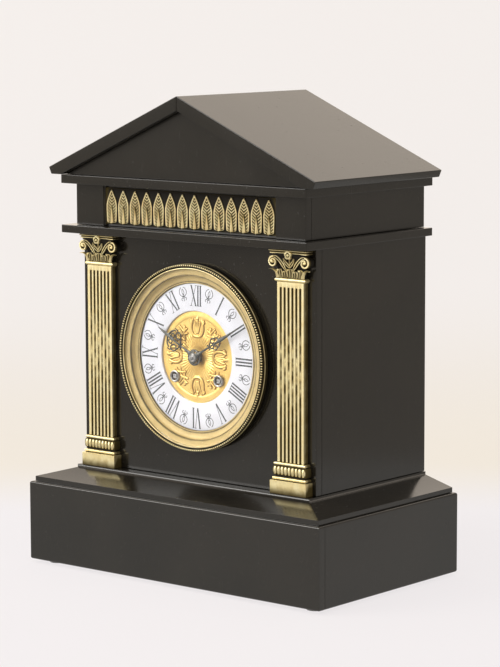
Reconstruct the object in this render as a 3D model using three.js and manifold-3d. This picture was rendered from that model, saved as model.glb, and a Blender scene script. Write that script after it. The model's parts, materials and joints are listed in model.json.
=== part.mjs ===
// Black marble mantel clock in the form of a small temple, with gilt brass mounts.
// Millimetres. X runs to the right, Y to the rear and Z up. The origin lies below
// the middle of the base, on the surface that the feet stand on.

import * as THREE from 'three';
import { mergeVertices } from 'three/addons/utils/BufferGeometryUtils.js';
import Module from 'manifold-3d';

const wasm = await Module();
wasm.setup();

// Driving sizes of the marble case
const footHeight = 3;
const footRadius = 8;
const footInset = 16;
const baseDepth = 177.4;
const baseHeight = 64.4;
const baseSideMargin = 30.7;
const baseArris = 1.6;
const slabThickness = 7;
const cementJoint = 0.2;
const capInset = 3.4;
const capEdge = 4;
const capSlopeHeight = 7.4;
const capStep = 2.5;
const capStepReveal = 1;
const rearInset = 2.3;
const bodyFrontMargin = 35.2;
const bodySideMargin = 8.1;
const ledgeThickness = 6.5;
const ledgeSideOverhang = 6.4;
const ledgeFrontOverhang = 19.7;
const friezeHeight = 33.1;
const friezeSideInset = 1.8;
const friezeSetback = 9.3;
const corniceThickness = 7.2;
const roofSideOverhang = 17;
const roofRise = 59.9;
const roofFrontOverhang = 2.9;
const roofRearSetback = 2.4;
const eaveHeight = 5.8;
const eaveEnd = 6.2;
const rakeThickness = 10.3;
const tympanumSetback = 7;
const tympanumThickness = 8;

// Driving sizes of the brass mounts
const friezeRecess = 3.6;
const leafCount = 14;
const leafPitch = 12.4;
const stripHeight = 29;
const stripPlate = 1.2;
const leafRelief = 1.1;
const tongueRelief = 1.9;
const leafHeight = 24.5;
const leafWidth = 10.6;
const leafRim = 1.3;
const pilasterDepth = 5;
const pilasterBlockProud = 3.6;
const pilasterBlockWidth = 35;
const pilasterBlockHeight = 12;
const pilasterTorusHeight = 7.5;
const pilasterFillet = 2.4;
const shaftWidth = 25.6;
const shaftBand = 4;
const fluteCount = 6;
const fluteWidth = 1.6;
const gadroonCount = 9;
const collarHeight = 3;
const capitalHeight = 23;
const capitalWidth = 34.2;
const abacusHeight = 4.4;
const voluteRadius = 4.3;
const flowerRadius = 4.4;
const mountSeat = 0.1;

// Driving sizes of the dial and its hinged bezel
const bezelStepGap = 23.2;
const bezelLedgeGap = 18.4;
const bezelShaftGap = 11.7;
const bezelOverlap = 7.9;
const bezelDepth = 6.5;
const bezelRim = 3.1;
const bezelSeat = 0.15;
const glassThickness = 1.4;
const glassLip = 1;
const sightRingWall = 1;
const sightRingWidth = 16;
const keyholeMargin = 7.9;
const dialThickness = 1.9;
const centreSink = 0.6;
const dialGap = 0.3;
const panWall = 1;
const panFlange = 1.2;
const panFlangeWidth = 5;
const postRadius = 2;
const hingePinRadius = 0.7;
const hingeInset = 0.9;
const knuckleRadius = 1.7;
const knuckleLength = 4.6;
const hingeClearance = 0.3;
const minuteHandMargin = 1.9;
const hourHandReach = 6.4;
const handThickness = 1;
const minuteAngle = 60;
const hourAngle = 299.5;

// Driving sizes of the movement
const plateThickness = 2;
const plateSpacing = 32;
const motionSpace = 12.5;
const plateMargin = 1.6;
const movementGap = 14.6;
const windingSpread = 45;
const windingDrop = 17;
const barrelGap = 1.8;
const drumWall = 1.6;
const drumLength = 20;
const windingArborRadius = 2.5;
const windingSquare = 3.4;
const keyClearance = 0.5;
const arborRadius = 1.2;
const pivotRadius = 0.8;
const runningClearance = 0.15;
const endShake = 0.4;
const wheelThickness = 1.2;
const greatTeeth = 54;
const greatPinionLeaves = 9;
const trainTeeth = 48;
const trainLeaves = 8;
const intermediateModule = 0.65;
const centreTeeth = 64;
const thirdTeeth = 48;
const upperModule = 0.5;
const escapeTeeth = 30;
const escapeRadius = 8;
const escapeRise = 26;
const anchorSpacing = 11;
const palletClearance = 0.75;
const palletWidth = 1.6;
const cannonLeaves = 10;
const minuteTeeth = 30;
const minuteLeaves = 8;
const hourTeeth = 32;
const motionModule = 0.6;
const cannonPipeRadius = 3;
const hourPipeRadius = 4.4;
const pipeClearance = 0.3;
const ratchetTeeth = 16;
const ratchetRadius = 6;
const pinCount = 6;
const pinRadius = 0.6;
const hammerRadius = 4;
const hammerGap = 1;
const bellRadius = 36;
const bellWall = 1.5;
const bellDepth = 24;
const bellStandoff = 19;
const bobRadius = 19;
const bobThickness = 9;
const bobFloorGap = 15.1;
const rodRadius = 1.2;
const crutchLength = 25;
const strapWidth = 10;
const strapThickness = 1.5;

// Driving sizes of the rear door
const doorThickness = 0.9;
const doorFlange = 1;
const doorSeat = 0.1;
const doorHoleCount = 8;
const doorHoleRadius = 3;
const doorKnuckleRadius = 1;
const doorKnuckleLength = 5;

// How far a cutting shape runs past what it cuts
const overrun = 5;

// Sides given to round things
const largeRound = 36;
const mediumRound = 16;
const smallRound = 10;
const tinyRound = 6;

// Shares of a tooth's pitch and module that shape every wheel and pinion
const toothAddendumShare = 0.9;
const toothDedendumShare = 1.75;
const leafTipShare = 0.07;
const leafRootShare = 0.15;
const leafAddendumShare = 0.5;
const leafDedendumShare = 1.3;

// Sizes of the movement and of the dial drawn round it
const barrelReach = Math.hypot(windingSpread / 2, windingDrop);
const barrelOuter = (windingSpread - barrelGap) / 2;
const plateRadius = barrelReach + barrelOuter + plateMargin;
const panHoleRadius = plateRadius + movementGap;
const panFlangeRadius = panHoleRadius + panFlangeWidth;
const doorRadius = panHoleRadius;
const bezelRadius = panHoleRadius + bezelOverlap;
const chapterRadius = bezelRadius - sightRingWidth;
const centreRadius = barrelReach + keyholeMargin;
const minuteHandLength = chapterRadius - minuteHandMargin;
const hourHandLength = centreRadius + hourHandReach;

// Sizes of the case drawn round the dial and its pilasters
const dialHeight = bezelRadius + bezelStepGap;
const bodyHeight = dialHeight + bezelRadius + bezelLedgeGap;
const pilasterSpacing = 2 * (bezelRadius + bezelShaftGap) + shaftWidth;
const bodyWidth = pilasterSpacing + shaftWidth + 2 * bodySideMargin;
const bodyDepth = baseDepth - rearInset - bodyFrontMargin;
const baseWidth = bodyWidth + 2 * baseSideMargin;
const friezeWidth = bodyWidth - 2 * friezeSideInset;
const roofWidth = bodyWidth + 2 * roofSideOverhang;
const shaftHeight = bodyHeight - 2 * (mountSeat + pilasterFillet) - pilasterBlockHeight
  - pilasterTorusHeight - collarHeight - capitalHeight;
const pendulumLength = dialHeight + escapeRise + anchorSpacing - bobRadius - bobFloorGap;

// Levels of the case from the ground up
const baseTop = footHeight + baseHeight;
const capTop = baseTop + capEdge + capSlopeHeight + capStep;
const bodyTop = capTop + bodyHeight;
const architraveTop = bodyTop + ledgeThickness;
const friezeTop = architraveTop + friezeHeight;
const corniceTop = friezeTop + corniceThickness;
const eaveTop = corniceTop + eaveHeight;

// Planes of the case from front to rear
const baseFront = -baseDepth / 2;
const baseRear = baseDepth / 2;
const bodyRear = baseRear - rearInset;
const bodyFront = bodyRear - bodyDepth;
const ledgeFront = bodyFront - ledgeFrontOverhang;
const friezeFront = ledgeFront + friezeSetback;
const roofFront = ledgeFront - roofFrontOverhang;
const roofRear = bodyRear - roofRearSetback;
const bodySide = bodyWidth / 2;
const ledgeSide = bodySide + ledgeSideOverhang;

// Finishes
const finish = (color, roughness, metalness) =>
  new THREE.MeshStandardMaterial({ color, roughness, metalness });
const slate = () => finish(0x24231f, 0.28, 0);
const plaster = () => finish(0x4a4741, 0.9, 0);
const gilt = () => finish(0xd9a93a, 0.3, 1);
const brass = () => finish(0xb8913e, 0.4, 1);
const steel = () => finish(0x5c6068, 0.35, 1);
const enamel = () => finish(0xdfe4e8, 0.3, 0);
const clearGlass = () => finish(0xf2f6f6, 0.05, 0);

// A closed solid from a closed geometry
function solid(geometry) {
  geometry.deleteAttribute('normal');
  geometry.deleteAttribute('uv');
  const merged = mergeVertices(geometry);
  const corners = merged.index.array;
  const triangles = [];
  for (let i = 0; i < corners.length; i += 3) {
    const [a, b, c] = [corners[i], corners[i + 1], corners[i + 2]];
    if (a !== b && b !== c && c !== a) triangles.push(a, b, c);
  }
  if (signedVolume(merged.attributes.position, triangles) < 0) triangles.reverse();
  return new wasm.Manifold(new wasm.Mesh({
    numProp: 3,
    vertProperties: new Float32Array(merged.attributes.position.array),
    triVerts: new Uint32Array(triangles),
  }));
}

// Six times the volume inside a list of triangles, below zero when they face inward
function signedVolume(points, triangles) {
  const [a, b, c] = [new THREE.Vector3(), new THREE.Vector3(), new THREE.Vector3()];
  let volume = 0;
  for (let i = 0; i < triangles.length; i += 3) {
    a.fromBufferAttribute(points, triangles[i]);
    b.fromBufferAttribute(points, triangles[i + 1]);
    c.fromBufferAttribute(points, triangles[i + 2]);
    volume += a.dot(b.cross(c));
  }
  return volume;
}

const join = (solids) => solids.reduce((whole, next) => whole.add(next));
const cut = (whole, tools) => tools.reduce((rest, tool) => rest.subtract(tool), whole);

// A box between two values on each axis
function block(x0, x1, y0, y1, z0, z1) {
  const geometry = new THREE.BoxGeometry(x1 - x0, y1 - y0, z1 - z0);
  return solid(geometry.translate((x0 + x1) / 2, (y0 + y1) / 2, (z0 + z1) / 2));
}

function outline(points) {
  return new THREE.Shape(points.map(([u, v]) => new THREE.Vector2(u, v)));
}

function extrusion(shape, length, curveSegments) {
  return new THREE.ExtrudeGeometry(shape, { depth: length, bevelEnabled: false, curveSegments });
}

// An outline in Y and Z, run from x0 to x1
function alongX(shape, x0, x1, curveSegments = smallRound) {
  const place = new THREE.Matrix4().set(0, 0, 1, x0, 1, 0, 0, 0, 0, 1, 0, 0, 0, 0, 0, 1);
  return solid(extrusion(shape, x1 - x0, curveSegments).applyMatrix4(place));
}

// An outline in X and Z, run from y0 to y1
function alongY(shape, y0, y1, curveSegments = smallRound) {
  const place = new THREE.Matrix4().set(1, 0, 0, 0, 0, 0, -1, y1, 0, 1, 0, 0, 0, 0, 0, 1);
  return solid(extrusion(shape, y1 - y0, curveSegments).applyMatrix4(place));
}

// A profile of [radius, depth] points turned about the Y axis
function turned(profile, sides) {
  const points = profile.map(([radius, depth]) => new THREE.Vector2(radius, depth));
  return solid(new THREE.LatheGeometry(points, sides));
}

// A closed section of [radius, depth] points turned into a ring about the Y axis
const ring = (section, sides) => turned([...section, section[0]], sides);

// A round bar along Y through the point x, z
function rod(radius, y0, y1, x = 0, z = 0, sides = smallRound) {
  const geometry = new THREE.CylinderGeometry(radius, radius, y1 - y0, sides);
  return solid(geometry.translate(x, (y0 + y1) / 2, z));
}

// A round bar along Z through the point x, y
function post(radius, z0, z1, x, y, sides = smallRound) {
  const geometry = new THREE.CylinderGeometry(radius, radius, z1 - z0, sides);
  return solid(geometry.rotateX(Math.PI / 2).translate(x, y, (z0 + z1) / 2));
}

const clock = new THREE.Group();
const movement = new THREE.Group();
movement.position.set(0, 0, capTop + dialHeight);
clock.add(movement);

// Adds a named piece to a group, at a place within that group
function addPiece(group, name, body, material, place = new THREE.Vector3()) {
  const mesh = body.getMesh();
  const geometry = new THREE.BufferGeometry();
  geometry.setAttribute('position', new THREE.BufferAttribute(mesh.vertProperties, 3));
  geometry.setIndex(new THREE.BufferAttribute(mesh.triVerts, 1));
  geometry.computeVertexNormals();
  const piece = new THREE.Mesh(geometry, material);
  piece.name = name;
  piece.position.copy(place);
  group.add(piece);
}

// Feet: four low turned pads
function footPad() {
  const neck = footRadius - footHeight / 3;
  const profile = [[0, 0], [neck, 0], [footRadius, footHeight / 3], [footRadius, footHeight * 2 / 3],
    [neck, footHeight - mountSeat], [0, footHeight - mountSeat]];
  return turned(profile, mediumRound).rotate([90, 0, 0]);
}

for (const [sideName, side] of [['left', -1], ['right', 1]]) {
  for (const [endName, end] of [['front', baseFront + footInset], ['rear', baseRear - footInset]]) {
    const place = new THREE.Vector3(side * (baseWidth / 2 - footInset), end, 0);
    addPiece(clock, `foot_${endName}_${sideName}`, footPad(), slate(), place);
  }
}

// Base: three polished slabs round a core of stone and plaster
function addBase() {
  const half = baseWidth / 2;
  const plan = outline([[baseArris - half, baseFront + baseArris], [half - baseArris, baseFront + baseArris],
    [half - baseArris, baseRear - baseArris], [baseArris - half, baseRear - baseArris]]);
  const rounded = new THREE.ExtrudeGeometry(plan, {
    depth: baseHeight - 2 * baseArris,
    bevelEnabled: true,
    bevelSize: baseArris,
    bevelThickness: baseArris,
    bevelSegments: 3,
  });
  const envelope = solid(rounded.translate(0, 0, footHeight + baseArris));
  const inner = half - slabThickness;
  const coreFront = baseFront + slabThickness + cementJoint;
  const piece = (x0, x1, y0, y1) => envelope.intersect(block(x0, x1, y0, y1, 0, baseTop));
  const front = baseFront + slabThickness;
  addPiece(clock, 'base_front_slab', piece(-half, half, baseFront, front), slate());
  addPiece(clock, 'base_left_slab', piece(-half, -inner, coreFront, baseRear), slate());
  addPiece(clock, 'base_right_slab', piece(inner, half, coreFront, baseRear), slate());
  const core = piece(cementJoint - inner, inner - cementJoint, coreFront, baseRear);
  addPiece(clock, 'base_core_block', core, plaster());
}
addBase();

// Cap: a slab with three sloping faces and a narrow step under the body
function addCap() {
  const low = baseTop + cementJoint;
  const edge = baseTop + capEdge;
  const slope = edge + capSlopeHeight;
  const top = capTop;
  const side = baseWidth / 2 - capInset;
  const stepSide = bodySide + capStepReveal;
  const front = baseFront + capInset;
  const stepFront = bodyFront - pilasterDepth - pilasterBlockProud - capStepReveal;
  const across = outline([[-side, low], [side, low], [side, edge], [stepSide, slope], [stepSide, top],
    [-stepSide, top], [-stepSide, slope], [-side, edge]]);
  const along = outline([[front, low], [bodyRear, low], [bodyRear, top], [stepFront, top],
    [stepFront, slope], [front, edge]]);
  const cap = alongY(across, front, bodyRear).intersect(alongX(along, -side, side));
  addPiece(clock, 'base_cap_moulding', cap, slate());
}
addCap();

// Body: four upright slabs with round openings for the dial and the rear door
function addBody() {
  const low = capTop + cementJoint;
  const inner = bodySide - slabThickness;
  const frontInside = bodyFront + slabThickness;
  const rearInside = bodyRear - slabThickness;
  const dialCentre = capTop + dialHeight;
  const opening = (y0, y1) => rod(panHoleRadius, y0 - overrun, y1 + overrun, 0, dialCentre, largeRound);
  const front = cut(block(-bodySide, bodySide, bodyFront, frontInside, low, bodyTop),
    [opening(bodyFront, frontInside)]);
  const back = cut(block(cementJoint - inner, inner - cementJoint, rearInside, bodyRear, low, bodyTop),
    [opening(rearInside, bodyRear)]);
  const flankFront = frontInside + cementJoint;
  addPiece(clock, 'case_front_panel', front, slate());
  addPiece(clock, 'case_left_panel', block(-bodySide, -inner, flankFront, bodyRear, low, bodyTop), slate());
  addPiece(clock, 'case_right_panel', block(inner, bodySide, flankFront, bodyRear, low, bodyTop), slate());
  addPiece(clock, 'case_back_panel', back, slate());
}
addBody();

// Entablature: architrave slab, frieze with its recess, and cornice slab
const stripLength = leafCount * leafPitch + 2 * leafRim;

function addEntablature() {
  const ledge = (low, high) => block(-ledgeSide, ledgeSide, ledgeFront, bodyRear, low + cementJoint, high);
  addPiece(clock, 'architrave_slab', ledge(bodyTop, architraveTop), slate());
  addPiece(clock, 'cornice_slab', ledge(friezeTop, corniceTop), slate());
  const half = friezeWidth / 2;
  const low = architraveTop + cementJoint;
  const recessHalf = stripLength / 2 + cementJoint;
  const recess = block(-recessHalf, recessHalf, friezeFront - overrun, friezeFront + friezeRecess,
    low - overrun, friezeTop + overrun);
  const slabRear = friezeFront + slabThickness;
  const front = cut(block(-half, half, friezeFront, slabRear, low, friezeTop), [recess]);
  addPiece(clock, 'frieze_front_slab', front, slate());
  const core = block(-half, half, slabRear + cementJoint, bodyRear, low, friezeTop);
  addPiece(clock, 'frieze_core_block', core, slate());
}
addEntablature();

// Pediment: two roof slabs that meet at the ridge, over a triangle at each end
function addPediment() {
  const half = roofWidth / 2;
  const ridge = eaveTop + roofRise;
  const slope = Math.atan2(roofRise, half);
  const underside = ridge - rakeThickness / Math.cos(slope);
  const seat = corniceTop + cementJoint;
  const reach = (underside - seat) / Math.tan(slope);
  const heel = half - eaveEnd * Math.sin(slope);
  const middle = cementJoint / 2;
  const drop = middle * Math.tan(slope);
  for (const [name, side] of [['roof_left_slab', -1], ['roof_right_slab', 1]]) {
    const section = outline([[side * middle, ridge - drop], [side * half, eaveTop], [side * heel, seat],
      [side * reach, seat], [side * middle, underside - drop]]);
    addPiece(clock, name, alongY(section, roofFront, roofRear), slate());
  }
  const bedding = cementJoint / Math.sin(slope);
  const triangle = outline([[bedding - reach, seat], [reach - bedding, seat],
    [0, underside - bedding * Math.tan(slope)]]);
  const frontFace = roofFront + tympanumSetback;
  const rearFace = roofRear - tympanumSetback;
  addPiece(clock, 'tympanum_front', alongY(triangle, frontFace, frontFace + tympanumThickness), slate());
  addPiece(clock, 'tympanum_rear', alongY(triangle, rearFace - tympanumThickness, rearFace), slate());
}
addPediment();

// A pointed arch of the given half width and height, standing on v0
function pointedArch(shape, centre, half, v0, height) {
  const spring = v0 + height / 2;
  shape.moveTo(centre - half, v0);
  shape.lineTo(centre + half, v0);
  shape.lineTo(centre + half, spring);
  shape.quadraticCurveTo(centre + half, v0 + height * 5 / 6, centre, v0 + height);
  shape.quadraticCurveTo(centre - half, v0 + height * 5 / 6, centre - half, spring);
  return shape;
}

// Frieze mount: a brass strip of pointed leaves, each with a rim and a tapered tongue
function addPalmetteFrieze() {
  const floor = friezeFront + friezeRecess - mountSeat;
  const face = floor - stripPlate;
  const middle = (architraveTop + friezeTop) / 2;
  const low = middle - stripHeight / 2;
  const half = stripLength / 2;
  const parts = [block(-half, half, face, floor, low, low + stripHeight),
    block(-half, half, face - leafRelief, face, low, low + leafRim),
    block(-half, half, face - leafRelief, face, low + stripHeight - leafRim, low + stripHeight)];
  const foot = low + leafRim * 2;
  for (let leaf = 0; leaf < leafCount; leaf++) {
    const centre = (leaf - (leafCount - 1) / 2) * leafPitch;
    const rim = pointedArch(new THREE.Shape(), centre, leafWidth / 2, foot, leafHeight);
    const well = pointedArch(new THREE.Path(), centre, leafWidth / 2 - leafRim, foot + leafRim,
      leafHeight - leafRim * 5 / 2);
    rim.holes.push(well);
    parts.push(alongY(rim, face - leafRelief, face, 2));
    const tongue = outline([[centre, foot], [centre + leafRim, foot + leafHeight / 4],
      [centre, foot + leafHeight * 3 / 5], [centre - leafRim, foot + leafHeight / 4]]);
    parts.push(alongY(tongue, face - tongueRelief, face));
  }
  addPiece(clock, 'palmette_frieze', join(parts), gilt());
}
addPalmetteFrieze();

// Pilaster base: block, two steps, a torus of gadroons and a fillet
function pilasterBase(back) {
  const half = pilasterBlockWidth / 2;
  const front = back - pilasterDepth;
  const low = capTop + mountSeat;
  const blockTop = capTop + pilasterBlockHeight;
  const step = pilasterFillet / 2;
  const torusLow = blockTop + 2 * step;
  const torusHigh = torusLow + pilasterTorusHeight;
  const proud = pilasterBlockProud;
  const reveal = (pilasterBlockWidth - shaftWidth) / 2;
  const inset = half - reveal / 2;
  const parts = [block(-half, half, front - proud, back, low, blockTop),
    block(reveal / 3 - half, half - reveal / 3, front - proud * 2 / 3, back, blockTop, blockTop + step),
    block(-inset, inset, front - proud / 2, back, blockTop + step, torusLow),
    block(step - inset, inset - step, front - proud / 4, back, torusLow, torusHigh),
    block(-inset, inset, front - proud / 3, back, torusHigh, torusHigh + pilasterFillet)];
  const pitch = (2 * inset) / gadroonCount;
  for (let lobe = 0; lobe < gadroonCount; lobe++) {
    const bulge = new THREE.SphereGeometry(1, 6, 4);
    bulge.scale(pitch * 9 / 16, proud / 2, pilasterTorusHeight * 9 / 16);
    bulge.translate((lobe - (gadroonCount - 1) / 2) * pitch, front - proud / 4, (torusLow + torusHigh) / 2);
    parts.push(solid(bulge));
  }
  return join(parts);
}

const pilasterBaseTop = capTop + pilasterBlockHeight + pilasterTorusHeight + 2 * pilasterFillet;

// Pilaster shaft: a flat bar with round-ended flutes under a plain band
function pilasterShaft(back) {
  const low = pilasterBaseTop + mountSeat;
  const high = pilasterBaseTop + shaftHeight;
  const front = back - pilasterDepth;
  const half = shaftWidth / 2;
  const rib = (shaftWidth - fluteCount * fluteWidth) / (fluteCount + 1);
  const fluteRadius = fluteWidth / 2;
  const fluteTop = high - shaftBand - fluteRadius;
  const flutes = [];
  for (let flute = 0; flute < fluteCount; flute++) {
    const x = rib + fluteRadius - half + flute * (rib + fluteWidth);
    flutes.push(post(fluteRadius, low - overrun, fluteTop, x, front, 8));
    const end = new THREE.SphereGeometry(fluteRadius, 8, 4).rotateX(Math.PI / 2);
    flutes.push(solid(end.translate(x, front, fluteTop)));
  }
  return cut(block(-half, half, front, back, low, high), flutes);
}

// A curled leaf tip: a flattened bulge that leans out from the bell of the capital
function leafTip(x, z, back, width, height) {
  const bulge = new THREE.SphereGeometry(1, 6, 4);
  bulge.scale(width * 9 / 16, pilasterDepth / 2, height / 2);
  return solid(bulge.translate(x, back - pilasterDepth, z));
}

// Pilaster capital: collar, bell, two rows of leaves, corner volutes, flower and abacus
function pilasterCapital(back) {
  const low = pilasterBaseTop + shaftHeight + mountSeat;
  const collarTop = low + collarHeight;
  const high = collarTop + capitalHeight;
  const front = back - pilasterDepth;
  const bellHalf = shaftWidth / 2;
  const flare = capitalWidth / 2 - voluteRadius / 2;
  const abacusLow = high - abacusHeight;
  const half = capitalWidth / 2;
  const step = abacusHeight / 2;
  const collarHalf = bellHalf + step * 3 / 4;
  const collar = block(-collarHalf, collarHalf, front - step / 2, back, low, collarTop);
  const bell = alongY(outline([[-bellHalf, collarTop], [bellHalf, collarTop], [bellHalf, (low + high) / 2],
    [flare, abacusLow], [-flare, abacusLow], [-bellHalf, (low + high) / 2]]), front, back);
  const parts = [collar, bell,
    block(-half, half, front - step, back, abacusLow, abacusLow + step),
    block(-half - step / 2, half + step / 2, front - step * 2, back, abacusLow + step, high)];
  const voluteHeight = abacusLow - voluteRadius * 3 / 2;
  for (const side of [-1, 1]) {
    const x = side * (half - voluteRadius / 3);
    parts.push(rod(voluteRadius, front - step, back, x, voluteHeight, mediumRound / 2));
    parts.push(rod(voluteRadius / 3, front - step * 2, front, x, voluteHeight, 8));
  }
  parts.push(rod(flowerRadius, front - step, front + step, 0, abacusLow - flowerRadius / 2, 8));
  parts.push(rod(flowerRadius / 3, front - step * 2, front, 0, abacusLow - flowerRadius / 2, 8));
  const leafSpan = shaftWidth / 4;
  for (let leaf = 0; leaf < 4; leaf++) {
    const x = (leaf - 3 / 2) * leafSpan;
    parts.push(leafTip(x, collarTop + leafSpan / 2, back, leafSpan, leafSpan * 3 / 2));
  }
  for (const side of [-1, 1]) {
    parts.push(leafTip(side * leafSpan, collarTop + leafSpan * 3 / 2, back, leafSpan, leafSpan * 3 / 2));
  }
  return join(parts);
}

for (const [name, side] of [['left', -1], ['right', 1]]) {
  const place = new THREE.Vector3((side * pilasterSpacing) / 2, 0, 0);
  const back = bodyFront - mountSeat;
  addPiece(clock, `pilaster_${name}_base`, pilasterBase(back), gilt(), place);
  addPiece(clock, `pilaster_${name}_shaft`, pilasterShaft(back), gilt(), place);
  addPiece(clock, `pilaster_${name}_capital`, pilasterCapital(back), gilt(), place);
}

// Planes of the dial, from the case front towards the viewer
const flangeFront = bodyFront - panFlange;
const bezelRear = flangeFront - bezelSeat;
const bezelFront = bezelRear - bezelDepth;
const glassFront = bezelFront + glassLip / 2;
const glassRear = glassFront + glassThickness;
const dialFace = bodyFront;
const dialRear = dialFace + dialThickness;
const panFloor = dialRear + mountSeat;
const plateFront = panFloor + panWall + motionSpace;
const hingeX = hingeInset - bezelRadius;
const hingeY = bezelRear - knuckleRadius - mountSeat;
const knuckleStart = knuckleLength + hingeClearance;
const knuckleEnd = knuckleStart + knuckleLength;

// Dial pan: flange on the case front, wall, floor, four posts, and two knuckles with their pin
const postShares = [1 / 6, 5 / 6, -5 / 12, -7 / 12];
const greatModule = (windingSpread - barrelGap) / (greatTeeth + 2 * toothAddendumShare);
const postCircle = plateRadius - postRadius * 2;
const windingHole = windingArborRadius + keyClearance;

function postPlaces() {
  return postShares.map((share) => [postCircle * Math.cos(share * Math.PI),
    postCircle * Math.sin(share * Math.PI)]);
}

function addDialPan() {
  const inside = panHoleRadius - hingeClearance - panWall;
  const outside = panHoleRadius - hingeClearance;
  const pipeHole = hourPipeRadius + pipeClearance * 2;
  const floorRear = panFloor + panWall;
  const pan = ring([[pipeHole, panFloor], [inside, panFloor], [inside, flangeFront],
    [panFlangeRadius, flangeFront], [panFlangeRadius, bodyFront - mountSeat],
    [outside, bodyFront - mountSeat], [outside, floorRear], [pipeHole, floorRear]], largeRound);
  const parts = [pan];
  for (const [x, z] of postPlaces()) {
    parts.push(rod(postRadius, panFloor, plateFront - mountSeat, x, z));
  }
  for (const side of [-1, 1]) {
    const [z0, z1] = side > 0 ? [knuckleStart, knuckleEnd] : [-knuckleEnd, -knuckleStart];
    parts.push(post(knuckleRadius, z0, z1, hingeX, hingeY));
    parts.push(block(hingeX - hingePinRadius, hingeX + knuckleRadius * 2, hingeY, bodyFront - mountSeat,
      z0, z1));
  }
  const holes = [-1, 1].map((side) => rod(windingHole, panFloor - overrun, floorRear + overrun,
    (side * windingSpread) / 2, -windingDrop));
  const pin = post(hingePinRadius, -knuckleEnd, knuckleEnd, hingeX, hingeY, 8);
  addPiece(movement, 'dial_pan', cut(join([...parts, pin]), holes), brass());
}
addDialPan();

// Chapter ring and gilt centre, seated on the floor of the pan
function addDial() {
  const inner = centreRadius + dialGap;
  const face = ring([[inner, dialFace], [chapterRadius, dialFace], [chapterRadius, dialRear],
    [inner, dialRear]], largeRound);
  addPiece(movement, 'chapter_ring', face, enamel());
  const centreFace = dialFace + centreSink;
  const pipeHole = hourPipeRadius + pipeClearance * 2;
  const centre = ring([[pipeHole, centreFace], [centreRadius, centreFace], [centreRadius, dialRear],
    [pipeHole, dialRear]], mediumRound);
  const holes = [-1, 1].map((side) => rod(windingHole + windingSquare / 4, centreFace - overrun,
    dialRear + overrun, (side * windingSpread) / 2, -windingDrop));
  addPiece(movement, 'dial_centre', cut(centre, holes), gilt());
}
addDial();

// Bezel: a moulded ring with a rebate for the glass and a knuckle behind its left edge
function addBezel() {
  const rebate = bezelRadius - bezelRim;
  const lip = rebate - glassLip;
  const bead = bezelRim / 3;
  const section = [[lip, bezelFront + glassLip / 4], [rebate, bezelFront], [bezelRadius - bead, bezelFront],
    [bezelRadius - bead / 4, bezelFront + bead / 2], [bezelRadius, bezelFront + bead * 3 / 2],
    [bezelRadius - bead / 2, bezelFront + bead * 5 / 2], [bezelRadius, bezelFront + bead * 3],
    [bezelRadius, bezelRear], [rebate, bezelRear], [rebate, glassFront], [lip, glassFront]];
  const notch = knuckleEnd + hingeClearance;
  const relief = knuckleRadius + hingeClearance;
  const body = cut(ring(section, largeRound), [
    post(relief, -notch, notch, hingeX, hingeY, mediumRound),
    block(hingeX - relief, hingeX + knuckleRadius * 3, hingeY - hingeClearance, bezelRear + overrun,
      -notch, notch)]);
  const web = block(hingeX - hingePinRadius, hingeX + knuckleRadius, bezelFront + bead * 3, hingeY,
    -knuckleLength, knuckleLength);
  const knuckle = post(knuckleRadius, -knuckleLength, knuckleLength, hingeX, hingeY);
  const bore = post(hingePinRadius + hingeClearance / 2, -knuckleEnd, knuckleEnd, hingeX, hingeY);
  addPiece(movement, 'bezel_ring', cut(join([body, web, knuckle]), [bore]), gilt());
  const glassRadius = rebate - hingeClearance;
  const glass = rod(glassRadius, glassFront + mountSeat / 2, glassRear, 0, 0, largeRound);
  addPiece(movement, 'bezel_glass', glass, clearGlass());
}
addBezel();

// Sight ring: a stepped hollow ring between the glass and the chapter ring
function addSightRing() {
  const outer = bezelRadius - bezelRim - hingeClearance;
  const inner = chapterRadius + dialGap;
  const width = outer - inner;
  const front = glassRear + mountSeat;
  const back = dialFace - dialGap - mountSeat;
  const depth = back - front;
  const widthShares = [0, 0.13, 0.42, 0.55, 0.8, 1];
  const depthShares = [0.05, 0.24, 0.34, 0.7, 0.82, 1];
  const face = widthShares.map((share, i) => [inner + width * share, back - depth * depthShares[i]]);
  const rear = [[outer, front + sightRingWall], [inner + width * widthShares[4], front + sightRingWall * 2],
    [panHoleRadius - panWall * 2, bezelRear - mountSeat],
    [inner + width * widthShares[1], bezelRear - mountSeat],
    [inner + width * widthShares[1] / 2, back], [inner, back]];
  const body = ring([...face, ...rear], largeRound);
  const notch = knuckleEnd + hingeClearance;
  const relief = block(hingeX - overrun, hingeX + knuckleRadius * 3, hingeY - hingeClearance, dialFace,
    -notch, notch);
  addPiece(movement, 'bezel_sight_ring', body.subtract(relief), gilt());
}
addSightRing();

// Levels of the movement between the plates
const plateRear = plateFront + plateThickness;
const backPlateFront = plateRear + plateSpacing;
const backPlateRear = backPlateFront + plateThickness;
const greatFront = plateRear + wheelThickness;
const greatRear = greatFront + 2 * wheelThickness;
const drumRear = greatRear + drumLength;
const pinWheelFront = drumRear + wheelThickness * 3 / 4;
const slowWheelFront = pinWheelFront + wheelThickness * 3 / 2;
const centreWheelFront = slowWheelFront + wheelThickness * 5 / 3;
const thirdWheelFront = greatRear + drumLength / 2;
const escapeFront = thirdWheelFront - wheelThickness * 3;

const polar = (radius, angle) => [radius * Math.cos(angle), radius * Math.sin(angle)];

// Outline of a wheel with pointed clock teeth, its first tooth at the angle phase
function wheelShape(teeth, module, phase) {
  const step = (2 * Math.PI) / teeth;
  const tip = module * (teeth / 2 + toothAddendumShare);
  const root = module * (teeth / 2 - toothDedendumShare);
  const points = [];
  for (let tooth = 0; tooth < teeth; tooth++) {
    const middle = phase + tooth * step;
    points.push(polar(tip, middle), polar(root, middle + step / 2));
  }
  return outline(points);
}

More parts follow.
